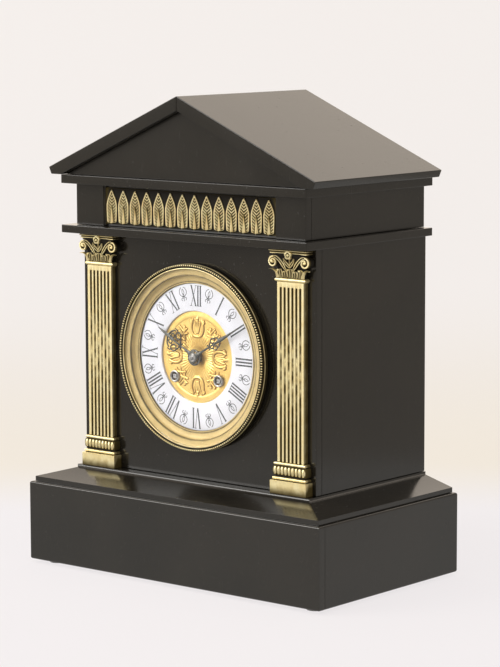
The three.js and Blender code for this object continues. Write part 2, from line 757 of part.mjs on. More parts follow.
// Outline of a pinion with slender leaves, its first leaf at the angle phase
function pinionShape(leaves, module, phase) {
  const step = (2 * Math.PI) / leaves;
  const tip = module * (leaves / 2 + leafAddendumShare);
  const root = module * (leaves / 2 - leafDedendumShare);
  const points = [];
  for (let leaf = 0; leaf < leaves; leaf++) {
    const middle = phase + leaf * step;
    points.push(polar(root, middle - step * leafRootShare), polar(tip, middle - step * leafTipShare),
      polar(tip, middle + step * leafTipShare), polar(root, middle + step * leafRootShare));
  }
  return outline(points);
}

// Outline of the escape wheel, with pointed teeth that lean the way it turns
function escapeShape() {
  const step = (2 * Math.PI) / escapeTeeth;
  const points = [];
  for (let tooth = 0; tooth < escapeTeeth; tooth++) {
    points.push(polar(escapeRadius, tooth * step), polar(escapeRadius * 5 / 6, (tooth + 1 / 3) * step));
  }
  return outline(points);
}

// Phase of a gear whose gaps take the teeth of its mate, both turning as geared
function meshingPhase(matePhase, mateTeeth, direction, teeth) {
  const lag = ((direction - matePhase) * mateTeeth) / (2 * Math.PI);
  return direction + Math.PI + (lag - 1 / 2) * ((2 * Math.PI) / teeth);
}

// The point at the given distances from two others, on one side of the line between them
function meetingPoint(a, reachA, b, reachB, side) {
  const [dx, dz] = [b[0] - a[0], b[1] - a[1]];
  const span = Math.hypot(dx, dz);
  const along = (span * span + reachA * reachA - reachB * reachB) / (2 * span);
  const off = side * Math.sqrt(reachA * reachA - along * along);
  return [a[0] + (along * dx - off * dz) / span, a[1] + (along * dz + off * dx) / span];
}

const bearing = (from, to) => Math.atan2(to[1] - from[1], to[0] - from[0]);
const at = ([x, z]) => new THREE.Vector3(x, 0, z);
const spacing = (teethA, teethB, module) => (module * (teethA + teethB)) / 2;

// Places of the arbors about the centre of the dial
const centreAt = [0, 0];
const timeBarrelAt = [windingSpread / 2, -windingDrop];
const strikeBarrelAt = [-windingSpread / 2, -windingDrop];
const greatReach = spacing(greatTeeth, greatPinionLeaves, greatModule);
const slowReach = spacing(trainTeeth, trainLeaves, intermediateModule);
const intermediateAt = meetingPoint(timeBarrelAt, greatReach, centreAt, slowReach, -1);
const escapeAt = [0, escapeRise];
const centreReach = spacing(centreTeeth, trainLeaves, upperModule);
const thirdReach = spacing(thirdTeeth, trainLeaves, upperModule);
const thirdAt = meetingPoint(centreAt, centreReach, escapeAt, thirdReach, 1);
const anchorAt = [0, escapeRise + anchorSpacing];
const pinWheelLean = Math.PI * 23 / 40;
const pinWheelAt = [strikeBarrelAt[0] + greatReach * Math.cos(pinWheelLean),
  strikeBarrelAt[1] + greatReach * Math.sin(pinWheelLean)];
const motionReach = spacing(cannonLeaves, minuteTeeth, motionModule);
const minuteWheelLean = Math.PI * 5 / 6;
const minuteWheelAt = polar(motionReach, minuteWheelLean);
const hammerAt = polar(plateRadius - plateMargin * 4, Math.PI * 17 / 18);

// Plates: round, with a bearing hole for every arbor
function platePierced(y0, y1, holes) {
  const plate = rod(plateRadius, y0, y1, 0, 0, largeRound);
  return cut(plate, holes.map(([radius, [x, z]]) => rod(radius, y0 - overrun, y1 + overrun, x, z)));
}

const pivotHole = pivotRadius + runningClearance;
const sharedHoles = [[windingArborRadius + runningClearance, timeBarrelAt],
  [windingArborRadius + runningClearance, strikeBarrelAt], [pivotHole, intermediateAt],
  [pivotHole, thirdAt], [pivotHole, escapeAt], [pivotHole, pinWheelAt]];

function addPlates() {
  const front = platePierced(plateFront, plateRear, [...sharedHoles,
    [arborRadius + runningClearance, centreAt], [pivotHole, anchorAt], [pivotHole, hammerAt]]);
  const stud = rod(arborRadius, plateFront - motionSpace * 2 / 3, plateFront, ...minuteWheelAt);
  addPiece(movement, 'movement_front_plate', front.add(stud), brass());
  const back = platePierced(backPlateFront, backPlateRear, [...sharedHoles,
    [arborRadius + runningClearance, centreAt], [arborRadius + runningClearance, anchorAt],
    [arborRadius + runningClearance, hammerAt]]);
  const pillars = postPlaces().map(([x, z]) => rod(postRadius * 3 / 2, plateRear + mountSeat,
    backPlateFront, x, z));
  addPiece(movement, 'movement_back_plate', join([back, ...pillars]), brass());
}
addPlates();

// An arbor with a thinner pivot in each plate
function pivoted() {
  const shoulder = endShake / 2;
  return [rod(arborRadius, plateRear + shoulder, backPlateFront - shoulder),
    rod(pivotRadius, plateFront, backPlateRear, 0, 0, tinyRound)];
}

// Winding arbors, each with its ratchet wheel and the square that takes the key
function ratchetShape() {
  const step = (2 * Math.PI) / ratchetTeeth;
  const points = [];
  for (let tooth = 0; tooth < ratchetTeeth; tooth++) {
    points.push(polar(ratchetRadius, tooth * step), polar(ratchetRadius * 5 / 6, (tooth + 1 / 8) * step));
  }
  return outline(points);
}

function windingArbor() {
  const half = windingSquare / 2;
  const shoulder = panFloor + panWall + mountSeat;
  const square = block(-half, half, dialFace, shoulder, -half, half);
  const shank = rod(windingArborRadius, shoulder, backPlateRear);
  const ratchet = alongY(ratchetShape(), plateFront - wheelThickness - endShake, plateFront - endShake);
  return join([square, shank, ratchet]);
}

// Barrels: great wheel and drum in one, bored for the arbor
function barrel(phase) {
  const teeth = alongY(wheelShape(greatTeeth, greatModule, phase), greatFront, greatRear);
  const drumRadius = barrelOuter - drumWall * 3 / 2;
  const drum = rod(drumRadius, greatFront + wheelThickness, drumRear, 0, 0, largeRound);
  const bore = rod(windingArborRadius + runningClearance, greatFront - overrun, drumRear + overrun);
  return cut(join([teeth, drum]), [bore]);
}

for (const [name, place] of [['time', timeBarrelAt], ['strike', strikeBarrelAt]]) {
  addPiece(movement, `${name}_barrel`, barrel(0), brass(), at(place));
  addPiece(movement, `${name}_winding_arbor`, windingArbor(), steel(), at(place));
}

// A wheel's disc of teeth
function wheelDisc(teeth, module, front) {
  return alongY(wheelShape(teeth, module, 0), front, front + wheelThickness);
}

// A pinion a little longer than the wheel that it meets, whose front is given
function pinionBar(leaves, module, phase, mateFront) {
  const spill = wheelThickness / 4;
  return alongY(pinionShape(leaves, module, phase), mateFront - spill, mateFront + wheelThickness + spill);
}

// Phases that put every wheel of the going train in mesh at rest
const intermediatePinionPhase = meshingPhase(0, greatTeeth, bearing(timeBarrelAt, intermediateAt),
  greatPinionLeaves);
const centrePinionPhase = meshingPhase(0, trainTeeth, bearing(intermediateAt, centreAt), trainLeaves);
const thirdPinionPhase = meshingPhase(0, centreTeeth, bearing(centreAt, thirdAt), trainLeaves);
const escapePinionPhase = meshingPhase(0, thirdTeeth, bearing(thirdAt, escapeAt), trainLeaves);

// Going train: intermediate, centre, third and escape wheels
function addGoingTrain() {
  const slow = join([wheelDisc(trainTeeth, intermediateModule, slowWheelFront), ...pivoted(),
    pinionBar(greatPinionLeaves, greatModule, intermediatePinionPhase, greatFront + wheelThickness / 2)]);
  addPiece(movement, 'intermediate_wheel', slow, brass(), at(intermediateAt));
  const arborFront = glassRear + endShake;
  const centre = join([wheelDisc(centreTeeth, upperModule, centreWheelFront),
    pinionBar(trainLeaves, intermediateModule, centrePinionPhase, slowWheelFront),
    rod(arborRadius, arborFront, backPlateRear)]);
  addPiece(movement, 'centre_wheel', centre, brass());
  const third = join([wheelDisc(thirdTeeth, upperModule, thirdWheelFront), ...pivoted(),
    pinionBar(trainLeaves, upperModule, thirdPinionPhase, centreWheelFront)]);
  addPiece(movement, 'third_wheel', third, brass(), at(thirdAt));
  const escape = join([alongY(escapeShape(), escapeFront, escapeFront + wheelThickness), ...pivoted(),
    pinionBar(trainLeaves, upperModule, escapePinionPhase, thirdWheelFront)]);
  addPiece(movement, 'escape_wheel', escape, brass(), at(escapeAt));
}
addGoingTrain();

// Motion work under the dial: cannon pinion, minute wheel and hour wheel
const handFront = glassRear + endShake * 3;
const minuteHandRear = handFront + handThickness;
const hourHandFront = minuteHandRear + endShake * 2;
const cannonRear = plateFront - endShake;
const cannonFront = cannonRear - wheelThickness * 2;
const minuteWheelFront = cannonRear - wheelThickness * 3 / 2;
const hourWheelRear = minuteWheelFront - wheelThickness * 3 / 2;
const hourWheelFront = hourWheelRear - wheelThickness;
const minuteWheelPhase = meshingPhase(0, cannonLeaves, minuteWheelLean, minuteTeeth);
const hourWheelPhase = meshingPhase(0, minuteLeaves, minuteWheelLean + Math.PI, hourTeeth);

function addMotionWork() {
  const cannon = join([alongY(pinionShape(cannonLeaves, motionModule, 0), cannonFront, cannonRear),
    rod(cannonPipeRadius, handFront, cannonFront, 0, 0, mediumRound / 2)]);
  const cannonBore = rod(arborRadius + runningClearance, handFront - overrun, cannonRear + overrun);
  addPiece(movement, 'cannon_pinion', cannon.subtract(cannonBore), steel());
  const minute = join([alongY(wheelShape(minuteTeeth, motionModule, minuteWheelPhase),
    minuteWheelFront, minuteWheelFront + wheelThickness),
  alongY(pinionShape(minuteLeaves, motionModule, 0), hourWheelFront - wheelThickness / 4,
    minuteWheelFront)]);
  const studBore = rod(arborRadius + runningClearance, hourWheelFront - overrun, cannonRear + overrun);
  addPiece(movement, 'minute_wheel', minute.subtract(studBore), brass(), at(minuteWheelAt));
  const hour = join([alongY(wheelShape(hourTeeth, motionModule, hourWheelPhase), hourWheelFront,
    hourWheelRear), rod(hourPipeRadius, hourHandFront, hourWheelRear, 0, 0, mediumRound / 2)]);
  const hourBore = rod(cannonPipeRadius + pipeClearance, hourHandFront - overrun,
    hourWheelRear + overrun, 0, 0, mediumRound / 2);
  addPiece(movement, 'hour_wheel', hour.subtract(hourBore), brass());
}
addMotionWork();

// A pierced round lobe of a hand, as a ring in the plane of the dial
function lobe(radius, x, z, front) {
  return ring([[radius / 2, front], [radius, front], [radius, front + handThickness],
    [radius / 2, front + handThickness]], smallRound + 2).translate([x, 0, z]);
}

// A straight tapered stretch of a hand, up its axis from one height to another
function taper(low, high, lowHalf, highHalf, front) {
  return alongY(outline([[-lowHalf, low], [lowHalf, low], [highHalf, high], [-highHalf, high]]),
    front, front + handThickness);
}

// A spear point with rounded shoulders, as a narrow diamond
function spear(low, high, half, front) {
  return alongY(outline([[-half / 3, low], [half / 3, low], [half, low + (high - low) / 4],
    [half / 6, high], [-half / 6, high], [-half, low + (high - low) / 4]]), front, front + handThickness);
}

// Hands: pierced steel, set to ten past ten
function addHands() {
  const boss = (radius, pipe, front) => ring([[pipe, front], [radius, front],
    [radius, front + handThickness], [pipe, front + handThickness]], mediumRound);
  const fit = pipeClearance;
  const h = hourHandLength;
  const hourParts = [boss(hourPipeRadius * 3 / 2, hourPipeRadius + fit, hourHandFront),
    taper(hourPipeRadius + pipeClearance * 3, h * 8 / 15, h / 22, h / 30, hourHandFront),
    lobe(h / 8, -h / 9, h * 5 / 9, hourHandFront), lobe(h / 8, h / 9, h * 5 / 9, hourHandFront),
    lobe(h / 10, 0, h * 7 / 10, hourHandFront), spear(h * 7 / 9, h, h / 16, hourHandFront)];
  const m = minuteHandLength;
  const minuteParts = [boss(cannonPipeRadius * 3 / 2, cannonPipeRadius + fit, handFront),
    taper(cannonPipeRadius + pipeClearance * 3, m * 3 / 7, m / 40, m / 56, handFront),
    lobe(m / 22, -m / 28, m * 4 / 9, handFront), lobe(m / 22, m / 28, m * 4 / 9, handFront),
    lobe(m / 28, 0, m / 2, handFront), spear(m * 10 / 19, m, m / 28, handFront)];
  const hour = join(hourParts).rotate([0, hourAngle, 0]);
  const minute = join(minuteParts).rotate([0, minuteAngle, 0]);
  addPiece(movement, 'hour_hand', hour, steel());
  addPiece(movement, 'minute_hand', minute, steel());
}
addHands();

// Strike work: pin wheel driven by the strike barrel, hammer and bell on its stand
const bellFront = backPlateRear + bellStandoff;

function addStrikeWork() {
  const pinionPhase = meshingPhase(0, greatTeeth, pinWheelLean, greatPinionLeaves);
  const wheelRadius = spacing(trainTeeth, 0, upperModule);
  const parts = [rod(wheelRadius, pinWheelFront, pinWheelFront + wheelThickness, 0, 0, mediumRound),
    pinionBar(greatPinionLeaves, greatModule, pinionPhase, greatFront + wheelThickness / 2), ...pivoted()];
  for (let pin = 0; pin < pinCount; pin++) {
    const [x, z] = polar(wheelRadius - pinRadius * 2, (pin * 2 * Math.PI) / pinCount);
    parts.push(rod(pinRadius, pinWheelFront, pinWheelFront + wheelThickness * 3, x, z, 6));
  }
  addPiece(movement, 'strike_pin_wheel', join(parts), brass(), at(pinWheelAt));
}
addStrikeWork();

function addHammer() {
  const headReach = bellRadius + hammerGap + hammerRadius;
  const headAt = polar(headReach, Math.PI * 3 / 4);
  const [dx, dz] = [headAt[0] - hammerAt[0], headAt[1] - hammerAt[1]];
  const reach = Math.hypot(dx, dz);
  const lean = Math.atan2(dx, dz) * (180 / Math.PI);
  const armFront = bellFront + wheelThickness;
  const arm = block(-arborRadius / 2, arborRadius / 2, armFront, armFront + wheelThickness, 0, reach);
  const head = rod(hammerRadius, armFront - hammerRadius, armFront + hammerRadius, 0, reach, smallRound);
  const parts = [...pivoted(), rod(arborRadius, backPlateFront - wheelThickness, armFront + wheelThickness),
    join([arm, head]).rotate([0, lean, 0])];
  addPiece(movement, 'strike_hammer', join(parts), steel(), at(hammerAt));
}
addHammer();

// Bell: a turned cup on the post of a bracket that stands on the back plate
function addBell() {
  const inner = bellRadius - bellWall;
  const profile = [];
  const backProfile = [];
  const steps = 5;
  const hole = arborRadius + runningClearance;
  for (let step = 0; step <= steps; step++) {
    const turn = ((Math.PI / 2) * step) / steps;
    const [across, deep] = [Math.cos(turn), Math.sin(turn)];
    profile.push([Math.max(bellRadius * across, hole), bellFront + bellDepth * deep]);
    backProfile.unshift([Math.max(inner * across, hole), bellFront + (bellDepth - bellWall) * deep]);
  }
  addPiece(movement, 'bell', ring([...profile, ...backProfile], mediumRound), brass());
  const crown = bellFront + bellDepth;
  const barRear = bellFront - bellWall;
  const barFront = barRear - wheelThickness * 2;
  const footX = bellRadius - bellWall * 3;
  const parts = [rod(arborRadius, barFront, crown + arborRadius * 5 / 2),
    rod(arborRadius * 2, crown + mountSeat * 2, crown + arborRadius * 2, 0, 0, tinyRound),
    rod(arborRadius * 2, crown - bellWall * 3, crown - bellWall - mountSeat, 0, 0, tinyRound),
    block(-arborRadius * 3 / 2, footX + arborRadius, barFront, barRear, -arborRadius, arborRadius),
    rod(arborRadius * 3 / 2, backPlateRear + mountSeat, barRear, footX, 0)];
  addPiece(movement, 'bell_stand', join(parts), brass());
}
addBell();

// Escapement and pendulum: the anchor with its crutch, the cock and the pendulum
function addEscapement() {
  const inner = escapeRadius + palletClearance;
  const outer = inner + palletWidth;
  const spread = Math.PI * 13 / 45;
  const band = new THREE.Shape();
  band.absarc(0, -anchorSpacing, outer, Math.PI / 2 - spread, Math.PI / 2 + spread, false);
  band.absarc(0, -anchorSpacing, inner, Math.PI / 2 + spread, Math.PI / 2 - spread, true);
  const escapeRear = escapeFront + wheelThickness;
  const rodY = backPlateRear + crutchLength / 3;
  const forkRear = rodY + rodRadius * 2;
  const crutchRear = backPlateRear + wheelThickness * 2;
  const prong = rodRadius + hingeClearance;
  const hub = rod(palletWidth * 3 / 2, escapeFront, escapeRear);
  const crutchFront = crutchRear - wheelThickness;
  const arm = block(-arborRadius / 2, arborRadius / 2, crutchFront, crutchRear, -crutchLength, 0);
  const fork = block(-prong - arborRadius, prong + arborRadius, crutchFront, forkRear,
    -crutchLength, arborRadius - crutchLength);
  const slot = block(-prong, prong, rodY - prong * 2, forkRear + overrun, -crutchLength - overrun,
    arborRadius + overrun - crutchLength);
  const parts = [alongY(band, escapeFront, escapeRear, 8), hub,
    rod(pivotRadius, plateFront, plateRear + endShake, 0, 0, 8),
    rod(arborRadius, plateRear + endShake / 2, crutchRear), arm, fork.subtract(slot)];
  addPiece(movement, 'pallet_anchor', join(parts), steel(), at(anchorAt));

  const hookHalf = rodRadius * 2;
  const top = rodRadius * 2;
  const bob = turned([[0, -bobThickness / 2], [bobRadius / 2, -bobThickness * 3 / 8],
    [bobRadius * 7 / 8, -bobThickness / 8], [bobRadius, 0], [bobRadius * 7 / 8, bobThickness / 8],
    [bobRadius / 2, bobThickness * 3 / 8], [0, bobThickness / 2]], mediumRound);
  const hang = [post(rodRadius, -pendulumLength - bobRadius, 0, 0, rodY, 8),
    block(-hookHalf, hookHalf, rodY - rodRadius / 2, rodY + rodRadius / 2, -top, top),
    post(rodRadius * 2, -pendulumLength - bobRadius - rodRadius * 4, -pendulumLength - bobRadius, 0, rodY, 8),
    bob.translate([0, rodY, -pendulumLength])];
  addPiece(movement, 'pendulum', join(hang), brass(), at(anchorAt));

  const cheek = hookHalf * 2;
  const cockLow = top + hingeClearance;
  const cockHigh = cockLow + strapWidth / 2;
  const cockFront = backPlateRear + mountSeat;
  const cock = join([block(-cheek, cheek, cockFront, rodY + rodRadius * 2, cockLow, cockHigh),
    block(-cheek, cheek, cockFront, cockFront + wheelThickness, arborRadius * 2, cockHigh)]);
  addPiece(movement, 'suspension_cock', cock, brass(), at(anchorAt));
}
addEscapement();

// Straps: two flat bars that draw the dial pan and the rear ring together
const ringTubeOuter = panHoleRadius - hingeClearance;
const ringTubeInner = ringTubeOuter - panWall;
const ringFront = bodyRear - slabThickness - panWall;

function addStraps() {
  const outer = ringTubeInner - strapThickness;
  const inner = outer - strapThickness;
  const half = strapWidth / 2;
  const from = panFloor + panWall + mountSeat;
  const to = ringFront - mountSeat;
  addPiece(movement, 'case_strap_left', block(-outer, -inner, from, to, -half, half), steel());
  addPiece(movement, 'case_strap_right', block(inner, outer, from, to, -half, half), steel());
}
addStraps();

// Rear ring: a tube through the back panel with an inner lip, a flange and two knuckles
const flangeBack = bodyRear + doorFlange;
const doorFront = flangeBack + doorSeat;
const doorHingeX = doorRadius + doorKnuckleRadius * 11 / 5;
const doorHingeY = doorFront + doorSeat;
const doorKnuckleStart = doorKnuckleLength + hingeClearance;
const doorKnuckleEnd = doorKnuckleStart + doorKnuckleLength;

function addRearRing() {
  const lip = ringTubeInner - strapThickness * 4;
  const flangeOuter = doorRadius + doorKnuckleLength;
  const mouth = lip + panWall * 2;
  const body = ring([[lip, ringFront], [ringTubeOuter, ringFront], [ringTubeOuter, bodyRear + doorSeat],
    [flangeOuter, bodyRear + doorSeat], [flangeOuter, flangeBack], [mouth, flangeBack],
    [mouth, ringFront + panWall], [lip, ringFront + panWall]], largeRound);
  const gap = doorKnuckleLength + hingeClearance;
  const relief = post(doorKnuckleRadius + hingeClearance, -gap, gap, doorHingeX, doorHingeY);
  const parts = [body.subtract(relief)];
  for (const [z0, z1] of [[doorKnuckleStart, doorKnuckleEnd], [-doorKnuckleEnd, -doorKnuckleStart]]) {
    parts.push(post(doorKnuckleRadius, z0, z1, doorHingeX, doorHingeY));
  }
  const pin = post(doorKnuckleRadius / 2, -doorKnuckleEnd, doorKnuckleEnd, doorHingeX, doorHingeY, 8);
  addPiece(movement, 'rear_bezel_ring', join([...parts, pin]), brass());
}
addRearRing();

// Rear door: a round plate with sound holes, a finger tab and a knuckle
function addRearDoor() {
  const back = doorFront + doorThickness;
  const parts = [rod(doorRadius, doorFront, back, 0, 0, largeRound),
    block(doorRadius - doorKnuckleLength, doorHingeX, doorFront, back, -doorKnuckleLength, doorKnuckleLength),
    post(doorKnuckleRadius, -doorKnuckleLength, doorKnuckleLength, doorHingeX, doorHingeY),
    block(-doorRadius - doorKnuckleLength / 2, doorKnuckleLength - doorRadius, doorFront, back,
      -doorKnuckleLength / 2, doorKnuckleLength / 2)];
  const holes = [post(doorKnuckleRadius / 2 + doorSeat, -doorKnuckleEnd, doorKnuckleEnd, doorHingeX,
    doorHingeY, 8)];
  for (let hole = 0; hole < doorHoleCount; hole++) {
    const [x, z] = polar(doorRadius / 2, (hole * 2 * Math.PI) / doorHoleCount);
    holes.push(rod(doorHoleRadius, doorFront - overrun, back + overrun, x, z));
  }
  addPiece(movement, 'rear_door', cut(join(parts), holes), brass());
}
addRearDoor();

export default clock;
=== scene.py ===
# %% [markdown]
# # A marble mantel clock in Blender
# The clock's solids come from its CAD model. This script dresses them: polished black slate, gilt brass mounts,
# an enamel dial, steel hands and glass. Most cells make one piece or one finish and print what they made.

# %% Load the imported model
import json
import math

import bmesh
import bpy
import numpy as np
from mathutils import Matrix, Vector


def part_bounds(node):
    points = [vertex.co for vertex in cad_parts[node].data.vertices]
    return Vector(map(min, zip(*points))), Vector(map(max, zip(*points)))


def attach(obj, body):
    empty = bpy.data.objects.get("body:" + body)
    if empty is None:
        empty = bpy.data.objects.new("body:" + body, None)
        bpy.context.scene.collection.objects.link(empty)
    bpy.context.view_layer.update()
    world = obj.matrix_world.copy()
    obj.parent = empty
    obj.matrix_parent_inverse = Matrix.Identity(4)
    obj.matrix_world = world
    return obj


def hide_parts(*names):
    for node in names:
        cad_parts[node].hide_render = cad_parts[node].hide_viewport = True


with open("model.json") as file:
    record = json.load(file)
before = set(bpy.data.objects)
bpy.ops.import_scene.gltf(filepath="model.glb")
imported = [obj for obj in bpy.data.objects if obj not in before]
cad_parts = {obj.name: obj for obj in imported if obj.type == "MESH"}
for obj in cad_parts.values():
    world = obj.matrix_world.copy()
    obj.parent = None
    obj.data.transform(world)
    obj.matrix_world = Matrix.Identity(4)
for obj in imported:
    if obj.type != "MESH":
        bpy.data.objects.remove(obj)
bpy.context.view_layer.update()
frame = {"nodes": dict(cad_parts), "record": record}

MILLIMETRE = 0.001
SIDES = (-1, 1)
nodes = frame["nodes"]
body_of = {node: body for body, members in frame["record"]["behaviour"]["bodies"].items() for node in members}

# %% [markdown]
# ## The camera
# The photograph was taken from the right of the clock and a little above it, from about two metres. Its place was
# worked out from the corners of the case, so the lens, the height and the turn below are all measured.

# %% The photograph's camera
SENSOR_LONG_SIDE, FOCAL_PIXELS, PICTURE_HEIGHT = 36.0, 2690.57, 667
CAMERA_PLACE = (1.3666, -1.6335, 0.4723)
CAMERA_YAW, CAMERA_PITCH, CAMERA_ROLL = (math.radians(a) for a in (39.71, 7.51, -0.17))


def linked(name, data):
    """An object at the origin that shows the data."""
    made = bpy.data.objects.new(name, data)
    bpy.context.collection.objects.link(made)
    return made


def camera_axes(yaw, pitch, roll):
    """Forward is the heading turned down by the pitch; right and up are square to it, turned about it by the roll."""
    forward = np.array([-math.sin(yaw) * math.cos(pitch), math.cos(yaw) * math.cos(pitch), -math.sin(pitch)])
    level = np.array([math.cos(yaw), math.sin(yaw), 0.0])
    right = level * math.cos(roll) + np.cross(level, forward) * math.sin(roll)
    return right, np.cross(right, forward), forward


right, up, forward = camera_axes(CAMERA_YAW, CAMERA_PITCH, CAMERA_ROLL)
camera = linked("camera", bpy.data.cameras.new("camera"))
camera.data.sensor_width = SENSOR_LONG_SIDE
camera.data.lens = FOCAL_PIXELS / PICTURE_HEIGHT * SENSOR_LONG_SIDE
camera.matrix_world = Matrix([[*row, place] for row, place in zip(np.stack([right, up, -forward], 1), CAMERA_PLACE)]
                             + [[0, 0, 0, 1]])
bpy.context.scene.camera = camera
print("lens", round(camera.data.lens, 1), "mm")

# %% [markdown]
# ## Shader maths
# A finish is worked out by nodes. Written as nodes, a sum of two patterns takes three lines that hide the formula.
# The small class below wraps a node's output so that `+`, `-` and `*` add the Math nodes themselves, and the
# formula reads as a formula.


# %% A socket that can be calculated with
class Value:
    """One output of a node. Sums, differences and products of values add Math nodes to the same tree."""

    def __init__(self, tree, socket):
        self.tree, self.socket = tree, socket

    def maths(self, operation, *terms):
        return self.tree.node("Math", {"operation": operation}, *terms)

    def __add__(self, other):
        return self.maths("ADD", self, other)

    def __mul__(self, other):
        return self.maths("MULTIPLY", self, other)

    def __sub__(self, other):
        return self.maths("SUBTRACT", self, other)

    def __rsub__(self, other):
        return self.maths("SUBTRACT", other, self)

    __radd__, __rmul__ = __add__, __mul__

    def kept(self, low, high):
        """The share of the way from low to high, held between 0 and 1, with soft ends."""
        return self.tree.node("MapRange", {"interpolation_type": "SMOOTHSTEP"}, self, low, high)


# %% A tree of nodes and the one method that adds to it
class Tree:
    """The shader nodes of a material or of the world."""

    def __init__(self, owner, output):
        owner.use_nodes = True
        self.nodes, self.links = owner.node_tree.nodes, owner.node_tree.links
        self.surface = self.nodes[output].inputs["Surface"]

    def node(self, kind, settings, *values, output=0, **named):
        """Adds a node: its settings first, then values or links in the order of its sockets, or by their names."""
        made = self.nodes.new("ShaderNode" + kind)
        for name, value in settings.items():
            setattr(made, name, value)
        for key, value in [*enumerate(values), *((n.replace("_", " "), v) for n, v in named.items())]:
            self.put(made.inputs[key], value)
        return Value(self, made.outputs[output])

    def put(self, socket, value):
        if isinstance(value, Value):
            self.links.new(value.socket, socket)
        elif isinstance(value, tuple) and socket.type == "RGBA":
            socket.default_value = (*value, 1.0)
        else:
            socket.default_value = value

    def ray(self, kind):
        """1 where the ray that sees the surface is of this kind, such as Camera or Glossy."""
        return self.node("LightPath", {}, output=f"Is {kind} Ray")

    def either(self, share, first, second):
        """The surface is the first shader, and by the share the second."""
        mixed = self.node("MixShader", {}, share, first, second)
        self.put(self.surface, mixed)
        return mixed


# %% A finish
class Finish(Tree):
    """A named material; the slot given to it is not used. Numbers that are the same all over go straight on the
    shader's own sockets.
    """

    def __init__(self, name, slot=None, **constants):
        self.material, self.slot = bpy.data.materials.new(name), slot
        super().__init__(self.material, "Material Output")
        self.shader = Value(self, self.nodes["Principled BSDF"].outputs[0])
        self.feed(**constants)

    def feed(self, **sockets):
        for name, value in sockets.items():
            self.put(self.shader.socket.node.inputs[name.replace("_", " ")], value)

    def place(self, x=1.0, y=1.0, z=1.0):
        """The point on the clock in metres, with each direction stretched by a number."""
        point = self.node("TexCoord", {}, output="Object")
        return self.node("VectorMath", {"operation": "MULTIPLY"}, point, (x, y, z))

    def noise(self, scale, detail=3.0, roughness=0.5, point=None):
        return self.node("TexNoise", {}, Vector=point or self.place(), Scale=scale, Detail=detail,
                         Roughness=roughness)

    def recess(self):
        """The number that the piece's own mesh carries at each point: 1 in a hollow, 0 on a high point. It stands for
        patina and for painted shade: darker flanks and side walls, and past 1 near-black deep gaps.
        """
        return self.node("Attribute", {"attribute_name": "recess"}, output="Fac")

    def mix(self, share, first, second):
        made = self.node("Mix", {"data_type": "RGBA"}, share, output=2)
        self.put(made.socket.node.inputs[6], first)
        self.put(made.socket.node.inputs[7], second)
        return made

    def bump(self, height, depth):
        """Surface relief of a height between 0 and 1 that stands for a depth in metres."""
        return self.node("Bump", {}, Height=height, Distance=depth, Strength=1.0)


print("shader maths ready")

# %% [markdown]
# ## Polished black slate
# The trade calls it marble, but it is a fine black limestone or slate, ground flat and waxed. Its own colour is
# nearly black. What is seen is mostly the room in it: a faint, slightly wavy mirror with hairline scratches, a few
# pits and paler worn arrises. So the finish is dark with a clear gloss, and its bump is very shallow. The stone
# offcuts in plaster behind it are rough and brown.

# %% Slate and core
SLATE_DARK, SLATE_BROWN, SLATE_GRAIN = (0.0110, 0.0098, 0.0078), (0.0165, 0.0142, 0.0110), (0.022, 0.020, 0.016)
GLOSS, WAVE = 0.11, 0.00004
slate = Finish("polished_slate", "black_slate", IOR=1.58)
clouds = slate.noise(11.0, detail=5.0).kept(0.36, 0.68)
grain = slate.noise(900.0, detail=2.0).kept(0.35, 0.75)
smears = slate.noise(34.0, detail=6.0, roughness=0.62, point=slate.place(z=0.4))
scratches = slate.noise(130.0, point=slate.place(x=14.0, y=14.0, z=0.6)).kept(0.69, 0.74)
pits = slate.noise(420.0, detail=1.0).kept(0.74, 0.79)
slate.feed(Base_Color=slate.mix(grain * 0.35, slate.mix(clouds, SLATE_DARK, SLATE_BROWN), SLATE_GRAIN),
           Roughness=smears * 0.10 + scratches * 0.12 + pits * 0.3 + GLOSS,
           Normal=slate.bump(slate.noise(5.5, detail=1.0) * 8.0 - scratches * 0.10 - pits * 0.5, WAVE))
core = Finish("plaster_and_offcuts")
lumps = core.noise(240.0, detail=6.0, roughness=0.65)
core.feed(Base_Color=core.mix(lumps.kept(0.35, 0.75), (0.034, 0.030, 0.025), (0.095, 0.083, 0.069)),
          Roughness=lumps * 0.2 + 0.75, Normal=core.bump(lumps, 0.0006))
print("slate and core ready")

# %% [markdown]
# ## Gilt and lacquered brass
# The mounts are cast or stamped brass, gilded or lacquered, and a hundred years old. The high points are rubbed
# bright and the hollows are brown. The meshes that follow carry a number so that the brown lies where dirt really
# collects, and the same number paints shade: brown on flanks and side walls, near-black in deep gaps and grooves.
# Noise breaks its edge.

# %% Gilt brass
# The patina brown also paints shade on the flanks of the mounts.
GILT_BRIGHT, GILT_WARM, PATINA_AND_SHADE_BROWN = (1.0, 0.90, 0.56), (0.93, 0.77, 0.40), (0.085, 0.062, 0.014)
# The near-black is painted shade: deep gaps, grooves and the bezel's side wall take it.
DEEP_SHADE_BLACK = (0.014, 0.011, 0.007)


